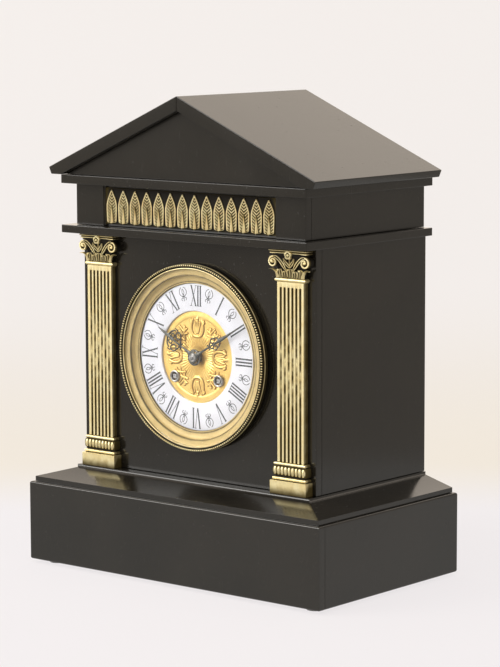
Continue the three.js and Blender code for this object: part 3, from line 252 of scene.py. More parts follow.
def gilt_brass(name, bright=GILT_BRIGHT, warm=GILT_WARM, shine=0.42, patina_and_shade_strength=1.0, streak=0.12, metallic=1.0,
               stain=PATINA_AND_SHADE_BROWN):
    """Patina and painted shade follow the mesh's own number, broken by noise, plus streaks of patina down the piece;
    past 1 the ground is painted near-black as deep shade.
    """
    gilt = Finish(name, "gilt_brass")
    cloud = gilt.noise(120.0, detail=5.0, roughness=0.6)
    fine = gilt.noise(1500.0)
    streaks = gilt.noise(700.0, detail=4.0, roughness=0.7, point=gilt.place(z=0.12)).kept(0.50, 0.66) * streak
    hollow = (gilt.recess() * patina_and_shade_strength + cloud * 0.35 - 0.17).kept(0.18, 0.80)
    patina_and_shade_share = gilt.node("Math", {"operation": "MAXIMUM", "use_clamp": True}, hollow, streaks)
    metal = gilt.mix(patina_and_shade_share, gilt.mix(cloud.kept(0.3, 0.75), bright, warm), stain)
    gilt.feed(Base_Color=gilt.mix(gilt.recess().kept(1.2, 1.9), metal, DEEP_SHADE_BLACK),
              Metallic=metallic - hollow * metallic * 0.55,
              Roughness=patina_and_shade_share * 0.30 + fine * 0.10 + shine, Normal=gilt.bump(fine + cloud, 0.00006))
    return gilt


mount_gilt = gilt_brass("mount_gilt")
strip_gilt = gilt_brass("strip_gilt", warm=(0.90, 0.72, 0.38), streak=0.0)
bezel_gilt = gilt_brass("bezel_gilt", (0.98, 0.86, 0.52), (0.84, 0.68, 0.34), shine=0.30, streak=0.10)
sight_gilt = gilt_brass("sight_gilt", (0.60, 0.435, 0.18), (0.52, 0.37, 0.145), shine=0.45, streak=0.0, metallic=0.1)
centre_gilt = gilt_brass("centre_gilt", (0.93, 0.66, 0.24), (0.87, 0.56, 0.17), shine=0.36, patina_and_shade_strength=0.75, streak=0.0,
                         stain=(0.40, 0.20, 0.04))
print("gilt ready")

# %% [markdown]
# ## Enamel, ink, steel, movement brass and glass
# The hours are fired on a white glaze, cool in tone beside the gilding. The hands are steel that has lost its blue
# and gone grey. The movement is brushed brass. The glass is clear, and lets the lamps' light straight through.

# %% The other finishes
enamel = Finish("dial_enamel", "enamel", IOR=1.5, Coat_Roughness=0.04)
haze = enamel.noise(70.0, detail=4.0)
enamel.feed(Base_Color=enamel.mix(haze.kept(0.35, 0.7), (0.775, 0.765, 0.86), (0.72, 0.71, 0.80)),
            Roughness=haze * 0.12 + 0.18, Coat_Weight=haze * 0.2 + 0.35,
            Normal=enamel.bump(enamel.noise(240.0, detail=2.0), 0.00002))
ink = Finish("dial_ink", IOR=1.45)
wear = ink.noise(900.0, detail=4.0)
ink.feed(Base_Color=ink.mix(wear.kept(0.45, 0.8), (0.028, 0.032, 0.042), (0.13, 0.14, 0.16)),
         Roughness=wear * 0.2 + 0.3)


def aged_steel(name, dark, pale, rough, slot="blued_steel"):
    """Grey steel: a cloud of tarnish and a brushed grain along the height."""
    steel = Finish(name, slot, Metallic=1.0)
    tarnish = steel.noise(330.0, detail=5.0, roughness=0.62)
    brushed = steel.noise(900.0, point=steel.place(z=0.25))
    steel.feed(Base_Color=steel.mix(tarnish.kept(0.35, 0.7), dark, pale), Roughness=brushed * 0.2 + rough,
               Normal=steel.bump(tarnish + brushed, 0.00003))
    return steel


def movement_brass(name, tone):
    """Brushed brass: fine lines along the height over a soft cloud of tarnish."""
    brass = Finish(name, "brass", Metallic=1.0)
    lines = brass.noise(800.0, point=brass.place(x=2.0, y=2.0, z=0.08))
    tarnish = brass.noise(45.0, detail=5.0).kept(0.40, 0.85)
    brass.feed(Base_Color=brass.mix(tarnish * 0.4, tone, (0.42, 0.27, 0.11)),
               Roughness=lines * 0.22 + tarnish * 0.15 + 0.20, Normal=brass.bump(lines, 0.00003))
    return brass


hand_steel = aged_steel("hand_steel", (0.09, 0.09, 0.085), (0.17, 0.165, 0.15), 0.42)
arbor_steel = aged_steel("arbor_steel", (0.27, 0.26, 0.26), (0.52, 0.50, 0.50), 0.34)
bell_bronze = aged_steel("bell_bronze", (0.42, 0.31, 0.16), (0.56, 0.43, 0.24), 0.22, "brass")
wheel_brass = movement_brass("wheel_brass", (0.80, 0.60, 0.27))
plate_brass = movement_brass("plate_brass", (0.74, 0.55, 0.25))
door_brass = movement_brass("door_brass", (0.78, 0.58, 0.26))
glass = Finish("bezel_glass", "glass", IOR=1.48, Transmission_Weight=1.0, Base_Color=(0.97, 0.99, 0.975))
glass.feed(Roughness=glass.noise(26.0, detail=5.0, roughness=0.6).kept(0.45, 0.8) * 0.012)
glass.either(glass.ray("Shadow"), glass.shader, glass.node("BsdfTransparent", {}))
print(len(bpy.data.materials), "finishes")

# %% [markdown]
# ## Surfaces from arrays
# Nearly every mount on this clock is a profile carried round or along something. So a piece is worked out as a grid
# of points, row by row, with numpy, and one function joins the neighbours into four-sided faces. Closed ends get a
# cap, and a shell that comes out inside out is turned round by the sign of its volume.


# %% A grid of points becomes a closed shell
def shell(points, recess=0.0, ring=False):
    """Rows of points, each row a closed loop. Neighbours share faces; ends are capped, or joined for a ring."""
    points = np.asarray(points, float)
    rows, columns, _ = points.shape
    index = np.arange(rows * columns).reshape(rows, columns)
    below = index if ring else index[:-1]
    above = np.roll(index, -1, 0) if ring else index[1:]
    quads = np.stack([below, np.roll(below, -1, 1), np.roll(above, -1, 1), above], -1).reshape(-1, 4)
    caps = [] if ring else [index[0, ::-1], index[-1]]
    fans = [np.column_stack([np.full(columns - 2, cap[0]), cap[1:-1], cap[2:]]) for cap in caps]
    flat = points.reshape(-1, 3)
    a, b, c = flat[np.concatenate([quads[:, :3], quads[:, [0, 2, 3]], *fans])].swapaxes(0, 1)
    faces = quads.tolist() + [cap.tolist() for cap in caps]
    if np.einsum("ij,ij", a, np.cross(b, c)) < 0:
        faces = [face[::-1] for face in faces]
    return flat, faces, np.broadcast_to(np.asarray(recess, float), (rows, columns)).ravel()


def moved(shells, place):
    return [(points + np.array(place), faces, recess) for points, faces, recess in shells]


def merged(shells):
    """Several shells as one set of points, faces and recess numbers."""
    starts = np.cumsum([0] + [len(s[0]) for s in shells[:-1]])
    faces = [[i + start for i in face] for (_, group, _), start in zip(shells, starts.tolist()) for face in group]
    return np.concatenate([s[0] for s in shells]), faces, np.concatenate([s[2] for s in shells])


def mesh_object(name, points, faces):
    mesh = bpy.data.meshes.new(name)
    mesh.from_pydata(points, [], faces)
    return linked(name, mesh)


def place_piece(piece, finish, *replaced, sharp, body=None):
    """Gives a mesh object its material and body, and hides the nodes it stands for. Sharper edges than sharp stay
    crisp.
    """
    piece.data.shade_smooth()
    piece.data.set_sharp_from_angle(angle=math.radians(sharp))
    piece.data.materials.append(finish.material)
    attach(piece, body or body_of[replaced[0]])
    if replaced:
        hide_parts(*replaced)
    print(piece.name, len(piece.data.polygons), "faces")
    return piece


def make_piece(name, shells, finish, *replaced, sharp=38, body=None):
    """Puts shells worked out in millimetres into one mesh."""
    points, faces, recess = merged(shells)
    piece = mesh_object(name, points * MILLIMETRE, faces)
    piece.data.attributes.new("recess", "FLOAT", "POINT").data.foreach_set("value", recess.astype(np.float32))
    return place_piece(piece, finish, *replaced, sharp=sharp, body=body)


def box_of(node):
    """A node's lowest and highest corner in millimetres."""
    return [np.array(corner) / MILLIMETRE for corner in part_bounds(node)]


def disc_of(node):
    """The front and back, as y, and the outer radius of a node that is round the dial's centre."""
    low, high = box_of(node)
    return low[1], high[1], high[0]


def held(value):
    """The value, kept between 0 and 1."""
    return np.clip(value, 0, 1)


def dome(share):
    """The height of a half circle at a share of its radius from its middle, and nothing outside it."""
    return np.sqrt(held(1 - share**2))


def around(count):
    """Angles at even steps once round."""
    return np.arange(count) / count * 2 * math.pi


def from_corner(x, y, *steps):
    """Profile points, given as steps from a corner."""
    return [(x + a, y + b) for a, b in steps]


# %% [markdown]
# ## The slate case
# The slabs are already right in the CAD model, but a ground slab never ends in a perfect edge: the mason takes off
# half a millimetre, and that thin arris is what catches the light. A copy of each solid is cleaned of its
# triangulation and its edges are bevelled, which keeps every face where the CAD put it.


# %% Slabs with a mason's arris
def arrised(node, width):
    """A copy of a node whose convex edges are cut back by a width in millimetres."""
    mesh = bmesh.new()
    mesh.from_mesh(nodes[node].data)
    bmesh.ops.remove_doubles(mesh, verts=mesh.verts, dist=1e-6)
    bmesh.ops.dissolve_limit(mesh, angle_limit=math.radians(1.0), verts=mesh.verts, edges=mesh.edges)
    edges = [e for e in mesh.edges if e.is_manifold and e.is_convex and e.calc_face_angle() > math.radians(20)]
    bmesh.ops.bevel(mesh, geom=edges, offset=width * MILLIMETRE, segments=2, profile=0.5, affect="EDGES",
                    clamp_overlap=True)
    bmesh.ops.recalc_face_normals(mesh, faces=mesh.faces)
    piece = linked(node + "_polished", bpy.data.meshes.new(node + "_polished"))
    mesh.to_mesh(piece.data)
    mesh.free()
    piece.modifiers.new("flat_faces", "WEIGHTED_NORMAL").keep_sharp = True
    place_piece(piece, slate, node, sharp=60)


ARRISES = (
    (0.25, "base_front_slab base_left_slab base_right_slab"), (0.05, "base_cap_moulding"),
    (0.45, "case_front_panel case_left_panel case_right_panel case_back_panel"), (0.5, "architrave_slab"),
    (0.4, "frieze_front_slab"), (0.3, "frieze_core_block"), (0.5, "cornice_slab"),
    (0.3, "tympanum_front tympanum_rear"), (0.55, "roof_left_slab roof_right_slab"),
)
for width, names in ARRISES:
    for node in names.split():
        arrised(node, width)

# %% [markdown]
# ## Pilasters: the path round three sides
# Base, shaft and capital are all a profile carried round the same path: up the left flank, across the front, and
# back down the right flank, with a flat back against the slate. A point of that path moves out by an offset, and
# at a corner it moves along the mitre, so a moulding turns the corner as a mason would cut it.

# %% A profile carried round the front and flanks
# DARK is a number past 1 that turns the gilt near-black: painted shade in deep gaps, grooves and behind leaves, darker
# than the patina that lies there.
CORNER_GAP, DARK = 0.02, 2.0


def carried(half, back, front, profile, relief=0.0, samples=3, recess=0.0):
    """Rows are the (offset, height) points of a profile. Relief, a bulge outwards, and recess may be functions."""
    across = (np.linspace(-1, 1, samples) if np.isscalar(samples) else samples) * half
    depths = np.array([back, (front + back) / 2, front + CORNER_GAP])
    x = np.concatenate([[-half] * 3, across, [half] * 3])[None, :]
    y = np.concatenate([depths, np.full(len(across), front), depths[::-1]])[None, :]
    out_x = np.concatenate([[-1.0] * 4, np.zeros(len(across) - 2), [1.0] * 4])
    out_y = np.concatenate([[0.0, 0.0], -np.ones(len(across) + 2), [0.0, 0.0]])
    offset, z = (column[:, None] for column in np.array(profile, float).T)
    relief, recess = (f(z, x, y) if callable(f) else f for f in (relief, recess))
    move = offset + 0 * x + relief
    return shell(np.stack([x + out_x * move, y + out_y * move, z + 0 * move], -1), recess)


def moulding(points, steps=5):
    """A profile drawn as corners, with each pair (offset, height, sweep) rounded outwards by its sweep."""
    line = [points[0][:2]]
    for (a, low, *_), (b, high, *sweep) in zip(points[:-1], points[1:]):
        bow = sweep[0] if sweep else 0.0
        for share in (np.arange(1, steps + 1) / steps if bow else [1.0]):
            line.append((a + (b - a) * share + bow * math.sin(math.pi * share), low + (high - low) * share))
    return line


def part_box(side, part):
    """A pilaster part's half width, front, back and height, and the place of its foot's middle."""
    low, high = box_of(f"pilaster_{side}_{part}")
    return (high[0] - low[0]) / 2, low[1], high[1], high[2] - low[2], ((low[0] + high[0]) / 2, 0.0, low[2])


# %% [markdown]
# ## Pilaster bases
# A square block, a step over a dark groove, then a swelling ring of nine egg-shaped lobes, called gadroons, and a
# fillet over them. The lobes are a bulge of the same carried surface: a half ellipse across each lobe times a half
# ellipse up it. Heights run up from the foot of the part.

# %% Two bases
GADROONS, LOBE_DEPTH = 9, 2.2
BLOCK_TOP, STEP_LOW, STEP_TOP, TORUS_LOW, TORUS_HIGH = 10.3, 11.0, 12.9, 14.4, 21.6


def pilaster_base(side):
    half, front, back, tall, place = part_box(side, "base")
    inner = half - 2.0

    def ledge(inset, depth, profile, recess=None):
        """A moulding set in from the block's sides and face, painted darker on its flanks as painted shade."""
        flank = lambda z, x, y: 0.10 + 0.6 * (y > front + depth + 0.4)
        return carried(half - inset, back, front + depth, profile, recess=flank if recess is None else recess)

    def egg(z, x, y):
        """A half ellipse across each lobe times a half ellipse up it."""
        phase = ((x + inner) / (2 * inner / GADROONS)) % 1.0 * 2 - 1
        rise = (z - TORUS_LOW) / (TORUS_HIGH - TORUS_LOW) * 2 - 1
        return dome(phase) * held(1 - rise**2) ** 0.4

    # The block is painted darker over its lowest 1.8 mm, a painted shadow at its foot, and on its flanks as painted
    # shade.
    block = carried(half, back, front, [(-0.2, 0.0), (0.0, 0.2), (0.0, BLOCK_TOP - 0.15), (-0.15, BLOCK_TOP)],
                    recess=lambda z, x, y: 0.85 * held((1.8 - z) / 1.8) + 0.5 * (y > front + 0.5))
    # The groove here and the band behind the lobes below are painted near-black, as painted shade.
    groove = ledge(2.0, 2.2, [(0.0, BLOCK_TOP - 0.5), (0.0, STEP_LOW + 0.4)], DARK)
    step = ledge(1.3, 1.6, moulding([(-0.5, STEP_LOW), (0.0, STEP_LOW + 0.2), (0.0, STEP_TOP - 0.3, 0.15),
                                     (-0.4, STEP_TOP)]))
    band = ledge(2.9, 3.4, [(0.0, STEP_TOP - 0.5), (0.0, tall - 1.0)], DARK)
    heights = TORUS_LOW + (TORUS_HIGH - TORUS_LOW) * (1 - np.cos(np.linspace(0, math.pi, 25))) / 2
    # Patina lies between the lobes; their flanks are painted darker as painted shade.
    torus = carried(inner - 0.2, back, front + 3.1, [(0.0, z) for z in heights],
                    samples=np.linspace(-1, 1, GADROONS * 14 + 1), relief=lambda *at: LOBE_DEPTH * egg(*at),
                    recess=lambda z, x, y: held((0.68 - egg(z, x, y)) / 0.16) + 0.5 * (y > front + 3.3))
    crown = ledge(2.3, 2.4, moulding([(-0.5, TORUS_HIGH + 0.5), (0.0, TORUS_HIGH + 0.8), (0.0, tall - 0.3, 0.2),
                                      (-0.5, tall)]))
    make_piece(f"gadrooned_base_{side}", moved([block, groove, step, band, torus, crown], place), mount_gilt,
               f"pilaster_{side}_base")


for side in ("left", "right"):
    pilaster_base(side)

# %% [markdown]
# ## Pilaster shafts
# Six flutes are cut in the face and end in a half round under a plain band. The depth of the surface is a function
# of across and up: inside a flute it is the depth of a circle, and past the flute's end the distance is measured to
# the end's centre instead, which rounds it off. Where years of polishing have filled and cleaned a flute, it is
# shallow and bright.

# %% Two fluted shafts
FLUTES, FLUTE_WIDTH, FLUTE_PITCH, FLUTE_BAND = 6, 2.1, 3.78, 4.0
FLUTE_CENTRES = (np.arange(FLUTES) - (FLUTES - 1) / 2) * FLUTE_PITCH
WEAR_PHASES = {"left": 0.4, "right": 2.9}


def flute_columns(half):
    """Where the columns lie across the face: closely at each flute, as shares of the half width."""
    inside = np.sin(np.linspace(-math.pi / 2, math.pi / 2, 11)) * FLUTE_WIDTH / 2
    edges = FLUTE_WIDTH / 2 + np.array([0.2, 0.5])
    spots = np.sort(np.concatenate([inside, edges, -edges, [-FLUTE_PITCH / 2]]))
    return np.concatenate([[-1.0], (FLUTE_CENTRES[:, None] + spots).ravel() / half, [1.0]])


def rubbed(z, x, foot, tall, phase):
    """1 where a flute is worn: spells from slow waves along it, strongest at mid-height."""
    middle = held(1.15 - np.abs((z - foot) / tall - 0.52) / 0.36)
    flute = np.round(x / FLUTE_PITCH - 0.5)
    spell = sum(strength * np.sin(z * wave + shift * flute + k * phase) for k, strength, wave, shift in
                ((1, 1.0, 0.19, 2.3), (2, 1.0, 0.47, 4.1), (3, 0.5, 1.37, 1.7))) / 2.5
    return middle * held(0.66 + 0.42 * spell)


def pilaster_shaft(side):
    half, front, back, tall, (centre, _, foot) = part_box(side, "shaft")
    radius = FLUTE_WIDTH / 2
    low_end, high_end = foot + 0.3, foot + tall - FLUTE_BAND - radius
    worn = lambda z, x: rubbed(z, x, foot, tall, WEAR_PHASES[side])

    def flutes(z, x, y):
        across = np.abs(x[..., None] - FLUTE_CENTRES).min(-1)
        beyond = np.maximum(np.maximum(z - high_end, low_end - z), 0.0)
        reach = np.hypot(across, beyond) / radius
        depth = dome(reach) * radius * (1.35 - 0.85 * worn(z, x))
        ease = 0.15 * held((1.7 - reach) / 0.7) ** 2
        return np.where(y < front + 0.01, -np.maximum(depth, ease), 0.0)

    ends, top = np.linspace(0, radius * 1.05, 9), foot + tall
    heights = np.unique(np.round(np.concatenate([[foot, foot + 0.5], low_end - ends,
                                                 np.linspace(low_end, high_end, 110), high_end + ends,
                                                 [top - 0.2, top]]), 3))
    # Patina lies in the flutes, less where they are worn; the flanks are painted darker as painted shade, and the
    # lowest 0.8 mm of the foot is darker too.
    face = carried(half, back, front, [(0.0, z) for z in heights], relief=flutes, samples=flute_columns(half),
                   recess=lambda z, x, y: np.clip(-flutes(z, x, y) / radius * 4 - 0.7, 0, 0.95)
                   * (1 - 0.62 * worn(z, x)) + 0.72 * (y > front + 0.5) + 0.9 * held((foot + 0.8 - z) / 0.8))
    make_piece(f"fluted_shaft_{side}", moved([face], (centre, 0, 0)), mount_gilt, f"pilaster_{side}_shaft")


for side in ("left", "right"):
    pilaster_shaft(side)

# %% [markdown]
# ## Ribbons and stems
# Scrolls, stems, flowers and pierced hands are all a small section carried along a line, thick in one place and
# thin in another. At each point the section stands square to the line, and its width and depth change along it.

# %% A section carried along a line
SQUARE_SECTION = np.array([(-1, 0), (-1, 1), (1, 1), (1, 0)], float)
ROUND_SECTION = np.array([(math.cos(a), math.sin(a)) for a in np.linspace(0, 2 * math.pi, 9)[:-1]])
RIDGED_SECTION = np.array([(-1, 0), (-0.8, 0.55), (0, 1), (0.8, 0.55), (1, 0)], float)
BAND_SECTION = np.array([(-1, 0), (-1, 0.85), (-0.75, 1), (0.75, 1), (1, 0.85), (1, 0)], float)
BAND_RECESS = (0.9, 0.5, 0.0, 0.0, 0.5, 0.9)
CHANNEL_SECTION = np.array([(-1, 0), (-1, 0.9), (-0.85, 1), (-0.5, 1), (-0.25, 0.4), (0.25, 0.4), (0.5, 1), (0.85, 1),
                            (1, 0.9), (1, 0)], float)
CHANNEL_RECESS = (0.9, 0.4, 0.0, 0.0, 1.3, 1.3, 0.0, 0.0, 0.4, 0.9)


def spread(values, count):
    """Evenly spaced values, read at count points."""
    values = np.atleast_1d(np.asarray(values, float))
    return np.interp(np.linspace(0, 1, count), np.linspace(0, 1, len(values)), values)


def ribbon(line, width, depth, face, section=ROUND_SECTION, recess=0.0):
    """A line of (x, z) points becomes a solid on the plane y = face that stands out towards -Y by its depth.

    Width and depth are a number, or a few numbers spread evenly along the line.
    """
    line = np.asarray(line, float)
    step = np.gradient(line, axis=0)
    step /= np.linalg.norm(step, axis=1, keepdims=True) + 1e-9
    square = np.column_stack([step[:, 1], -step[:, 0]])
    width, depth = (spread(v, len(line))[:, None] for v in (width, depth))
    across = line[:, None, :] + square[:, None, :] * (section[:, 0] * width / 2)[..., None]
    outward = face - section[:, 1] * depth
    return shell(np.stack([across[..., 0], outward, across[..., 1]], -1), recess)


def spiral(centre, start, end, turns, samples=64, bow=0.8):
    """From above the centre the line turns outwards and down; its radius shrinks from start to end as it goes."""
    share = np.linspace(0, 1, samples)
    angle = math.pi / 2 - share * turns * 2 * math.pi
    radius = start + (end - start) * share**bow
    return np.column_stack([centre[0] + radius * np.cos(angle), centre[1] + radius * np.sin(angle)])


def curve(*points, samples=20):
    """A smooth line through a few points: a Bezier curve on them as control points."""
    share = np.linspace(0, 1, samples)[:, None]
    count = len(points) - 1
    weights = [math.comb(count, k) * share**k * (1 - share) ** (count - k) for k in range(count + 1)]
    return sum(weight * np.array(point, float) for weight, point in zip(weights, points))


def turned(profile, columns=48, centre=(0.0, 0.0), ring=False, recess=0.0, radius_at=None):
    """(radius, y) points of a profile turned about an axis along Y; radius_at may change each radius by its angle."""
    radius, y = (column[:, None] for column in np.array(profile, float).T)
    angle = around(columns)
    radius = radius + 0 * angle
    if radius_at is not None:
        radius = radius_at(radius, angle)
    x, z = centre[0] + radius * np.sin(angle), centre[1] + radius * np.cos(angle)
    return shell(np.stack([x, y + 0 * x, z], -1), np.asarray(recess, float).reshape(-1, 1), ring)


print("ribbons and turning ready")

# %% [markdown]
# ## Corinthian capitals
# Over a round collar stands a bell that flares to the abacus, a square slab in two steps. Curled leaves clothe its
# foot, two stalks rise from the middle and wind into spirals under the corners, and a flower on a leafy stem covers
# the middle of the abacus. Each of these is a surface of its own, sunk a little in its neighbours, and each half is
# drawn once and mirrored.


# %% Leaves with a curled tip
def curled_leaf(x, z, face, width, height, curl, lean):
    """Across runs from edge to edge and up from foot to tip; the tip bends out and down by the curl."""
    up_share, across = np.meshgrid(np.linspace(0, 1, 19), np.linspace(-1, 1, 13), indexing="ij")
    edge = np.sin(math.pi * held(up_share * 0.86 + 0.10)) ** 0.7
    edge = edge * (1 + 0.13 * np.abs(np.sin(3 * math.pi * up_share)))
    aside = across * edge * width / 2
    over = held((up_share - 0.6) / 0.4)
    rise = height * (np.minimum(up_share, 0.62) + 0.26 * np.sin(over * math.pi * 0.85))
    stand = 0.5 + 0.9 * up_share + curl * (1 - np.cos(over * math.pi * 0.75)) * 0.62
    vein = 0.35 * np.cos(across * math.pi * 2.5) * edge + 0.35 * (1 - across**2)
    front = np.stack([x + aside + lean * up_share, face - stand - vein, z + rise], -1)
    rear = np.stack([x + aside * 0.96 + lean * up_share, face - stand + 0.55 - vein * 0.4, z + rise - 0.1], -1)
    hollow = held(0.95 - 0.9 * vein - 0.9 * over - 0.5 * np.abs(across) ** 6)
    return shell(np.concatenate([front, rear[:, ::-1]], 1), np.concatenate([hollow, hollow * 0 + 1], 1))


# %% Two capitals
VOLUTE, ABACUS, COLLAR = 3.9, 4.4, 3.0
LEAF_FORMS = ((9.4, 0.9, 5.0, 8.2, 1.8), (4.7, 0.3, 4.8, 6.6, 1.6), (0.0, 0.0, 5.6, 8.6, 2.6))


def capital_scrolls(half, face, back, side):
    """A channelled stalk from the middle that winds under the corner, a round eye and a leaf tip curling out below."""
    flip = np.array([side, 1])
    eye = np.array([half - VOLUTE - 0.75, 15.4])
    wind = spiral(eye, VOLUTE, 1.1, 1.3, bow=1.5)
    rise = curve((2.8, 8.2), (6.5, 13.4), (10.4, 19.4), wind[0], samples=26)
    tip = curve((12.0, 3.3), (12.6, 7.6), (14.6, 10.4), (half - 0.9, 9.3))
    share = np.linspace(0, 1, len(rise))
    # The sunk disc round each eye is painted near-black: painted shade in the gap under the ring.
    return [ribbon(rise * flip, np.interp(share, [0.0, 0.3, 0.8, 1.0], [1.0, 2.8, 2.6, 1.5]), (1.3, 2.3), face,
                   CHANNEL_SECTION, CHANNEL_RECESS),
            ribbon(wind * flip, (1.5, 1.1), (2.3, 3.2), face, BAND_SECTION, BAND_RECESS),
            turned([(0.2, face - 0.9), (VOLUTE - 0.4, face - 0.7), (VOLUTE, back)], 28, eye * flip, recess=DARK),
            turned(from_corner(0, face, (0.15, -3.4), (0.8, -3.3), (1.2, -2.8), (1.3, -0.9)), 16, eye * flip),
            ribbon(tip * flip, (3.4, 0.7), (1.2, 3.0), face, RIDGED_SECTION, 0.1)]


def capital_flower(face, centre_z):
    """Five petals round a boss, and under it a stem between two leaves."""
    def petals(radius, angle):
        return radius * (1 + (0.20 * np.abs(np.cos(2.5 * angle)) - 0.12) * (radius > 1.2))

    profile = from_corner(0, face, (0.15, -3.9), (0.75, -3.9), (1.15, -3.2), (1.25, -2.6), (2.1, -3.7), (3.1, -3.5),
                          (3.5, -2.6), (3.1, -0.9), (2.9, 0.4))
    bloom = turned(profile, 60, (0.0, centre_z), recess=(0, 0, 0.6, 1, 0.1, 0, 0.1, 0.9, 1), radius_at=petals)
    foot = centre_z - 9.0
    stem = ribbon(from_corner(0, foot, (0.0, -1.0), (0.1, 2.5), (0.0, 6.5)), (1.5, 1.1, 0.9), 1.8, face, recess=0.35)
    leaf = curve(*from_corner(0, foot, (0.2, -0.6), (1.8, 2.2), (4.2, 2.8), (5.0, 6.4)), samples=16)
    width = 0.5 + 2.1 * np.sin(np.linspace(0.15, 1, 16) * math.pi)
    return [bloom, stem] + [ribbon(leaf * (side, 1), width, (1.4, 2.6), face, CHANNEL_SECTION, CHANNEL_RECESS)
                            for side in SIDES]


def capital(side):
    half, front, back, tall, place = part_box(side, "capital")
    shaft_half, face, *_ = part_box(side, "shaft")
    slab = tall - ABACUS
    inward = lambda z, x, y: np.where(y < face, -0.6 * np.cos(np.clip(x / half, -1, 1) * math.pi / 2) ** 2, 0.0)
    flared = [(3.8 * r**2.4, COLLAR - 0.1 + r * (slab + 0.5 - COLLAR)) for r in np.linspace(0, 1, 12)]
    # The collar and the abacus are painted darker on their flanks, as painted shade, and the flaring bell behind the
    # leaves is painted near-black, as painted shade.
    shells = [
        carried(shaft_half + 1.4, back, face - 0.1, moulding([(-0.6, 0.0), (0.0, 0.3), (0.0, COLLAR - 0.3, 0.6),
                                                              (-0.6, COLLAR)], 8),
                recess=lambda z, x, y: 0.5 * (y > face + 0.4)),
        carried(shaft_half - 0.6, back, face + 1.0, flared, recess=DARK),
        carried(shaft_half + 4.9, back, front + 1.5,
                from_corner(0, slab, (-0.8, 0.0), (0.0, 0.15), (0.0, 0.8), (-0.5, 1.1), (-0.5, 2.1)), inward, 25,
                lambda z, x, y: 0.95 * (z > slab + 0.9) + 0.1 + 0.6 * (y > face)),
        carried(shaft_half + 5.3, back, front + 0.7,
                from_corner(0, slab, (-0.4, 2.0), (0.0, 2.3)) + from_corner(
                    0, tall, (0.1, -1.5), (-0.4, -1.2), (-0.4, -0.9), (0.4, -0.6), (0.4, -0.1), (0.2, 0.0)), inward, 25,
                lambda z, x, y: 0.85 * (z < tall - 0.8) * (z > slab + 2.4) + 0.6 * (y > face)),
        *capital_flower(face, tall - 5.1)]
    for turn in SIDES:
        shells += capital_scrolls(half, face, back, turn)
        for x, lean, width, height, curl in LEAF_FORMS[:2 if turn < 0 else 3]:
            shells.append(curled_leaf(turn * x, COLLAR - 0.2, face + 0.6, width, height, curl, turn * lean))
    make_piece(f"corinthian_capital_{side}", moved(shells, place), mount_gilt, f"pilaster_{side}_capital")


for side in ("left", "right"):
    capital(side)

# %% [markdown]
# ## The palmette strip
# Fourteen pointed leaves stand side by side in the frieze. The strip is one relief, but its columns are not evenly
# spaced: inside each leaf they are squeezed to the leaf's own outline, so the pointed edge runs along the mesh and
# stays sharp. Height is a bright rounded rim, fine barbs that slant up from the middle, and a long tapered tongue.

# %% Fourteen leaves
LEAVES, LEAF_FOOT, LEAF_HEIGHT, LEAF_HALF = 14, 0.9, 27.0, 5.65
BARB_PITCH, ROPE_PITCH, STRIP_END, PLATE_DEPTH = 2.45, 1.6, 1.2, 1.95


def leaf_outline(height):
    """Half width of the pointed leaf at a height: a little narrow at the foot, full at a third, pointed above."""
    share = np.clip((height - LEAF_FOOT) / LEAF_HEIGHT, 0.0, 1.0)
    foot = dome(held((0.05 - share) / 0.05))
    point = np.where(share > 0.50, held(1 - (np.maximum(share - 0.50, 0) / 0.50) ** 1.6), 1.0)
    body = 0.90 + 0.10 * np.sin(held(share / 0.5) * math.pi / 2)
    inside = (height > LEAF_FOOT) & (height < LEAF_FOOT + LEAF_HEIGHT)
    return np.where(inside, np.maximum(LEAF_HALF * foot * point * body, 0.1), 0.1)


def leaf_relief(across, height, half):
    """Rim, barbs and tongue of one leaf, in millimetres over the plate, and how hollow each point is. Outside the leaf
    the plate is painted near-black, as painted shade in the gaps over its dark patina.
    """
    edge, aside = half - np.abs(across), np.abs(across)
    rim = 1.2 * dome((edge - 0.7) / 0.7) * (half > 0.4)
    barbs = 0.5 + 0.5 * np.sin((height - 0.8 * aside) * 2 * math.pi / BARB_PITCH)
    tongue_half = 1.75 * held(1 - (height - LEAF_FOOT) / LEAF_HEIGHT / 0.5)
    ridge = held(1 - aside / (tongue_half + 1e-3)) * (tongue_half > 0.02)
    moat = held(1.6 - (aside - tongue_half) / 0.5) * (tongue_half > 0.02)
    field, steep = held((edge - 1.1) / 0.3) * (1 - moat), np.minimum(ridge * 4, 1)
    lift = np.maximum(rim + field * (0.2 + 0.6 * barbs), steep * (1.0 + 0.85 * ridge**0.7))
    shine = np.maximum(rim / 0.6 * (1 - 0.45 * (1 - barbs) * (edge > 0.8)), field * 0.7 * barbs)
    return lift * (edge > 0), np.where(edge > 0, 1 - held(np.maximum(shine, steep)), DARK)


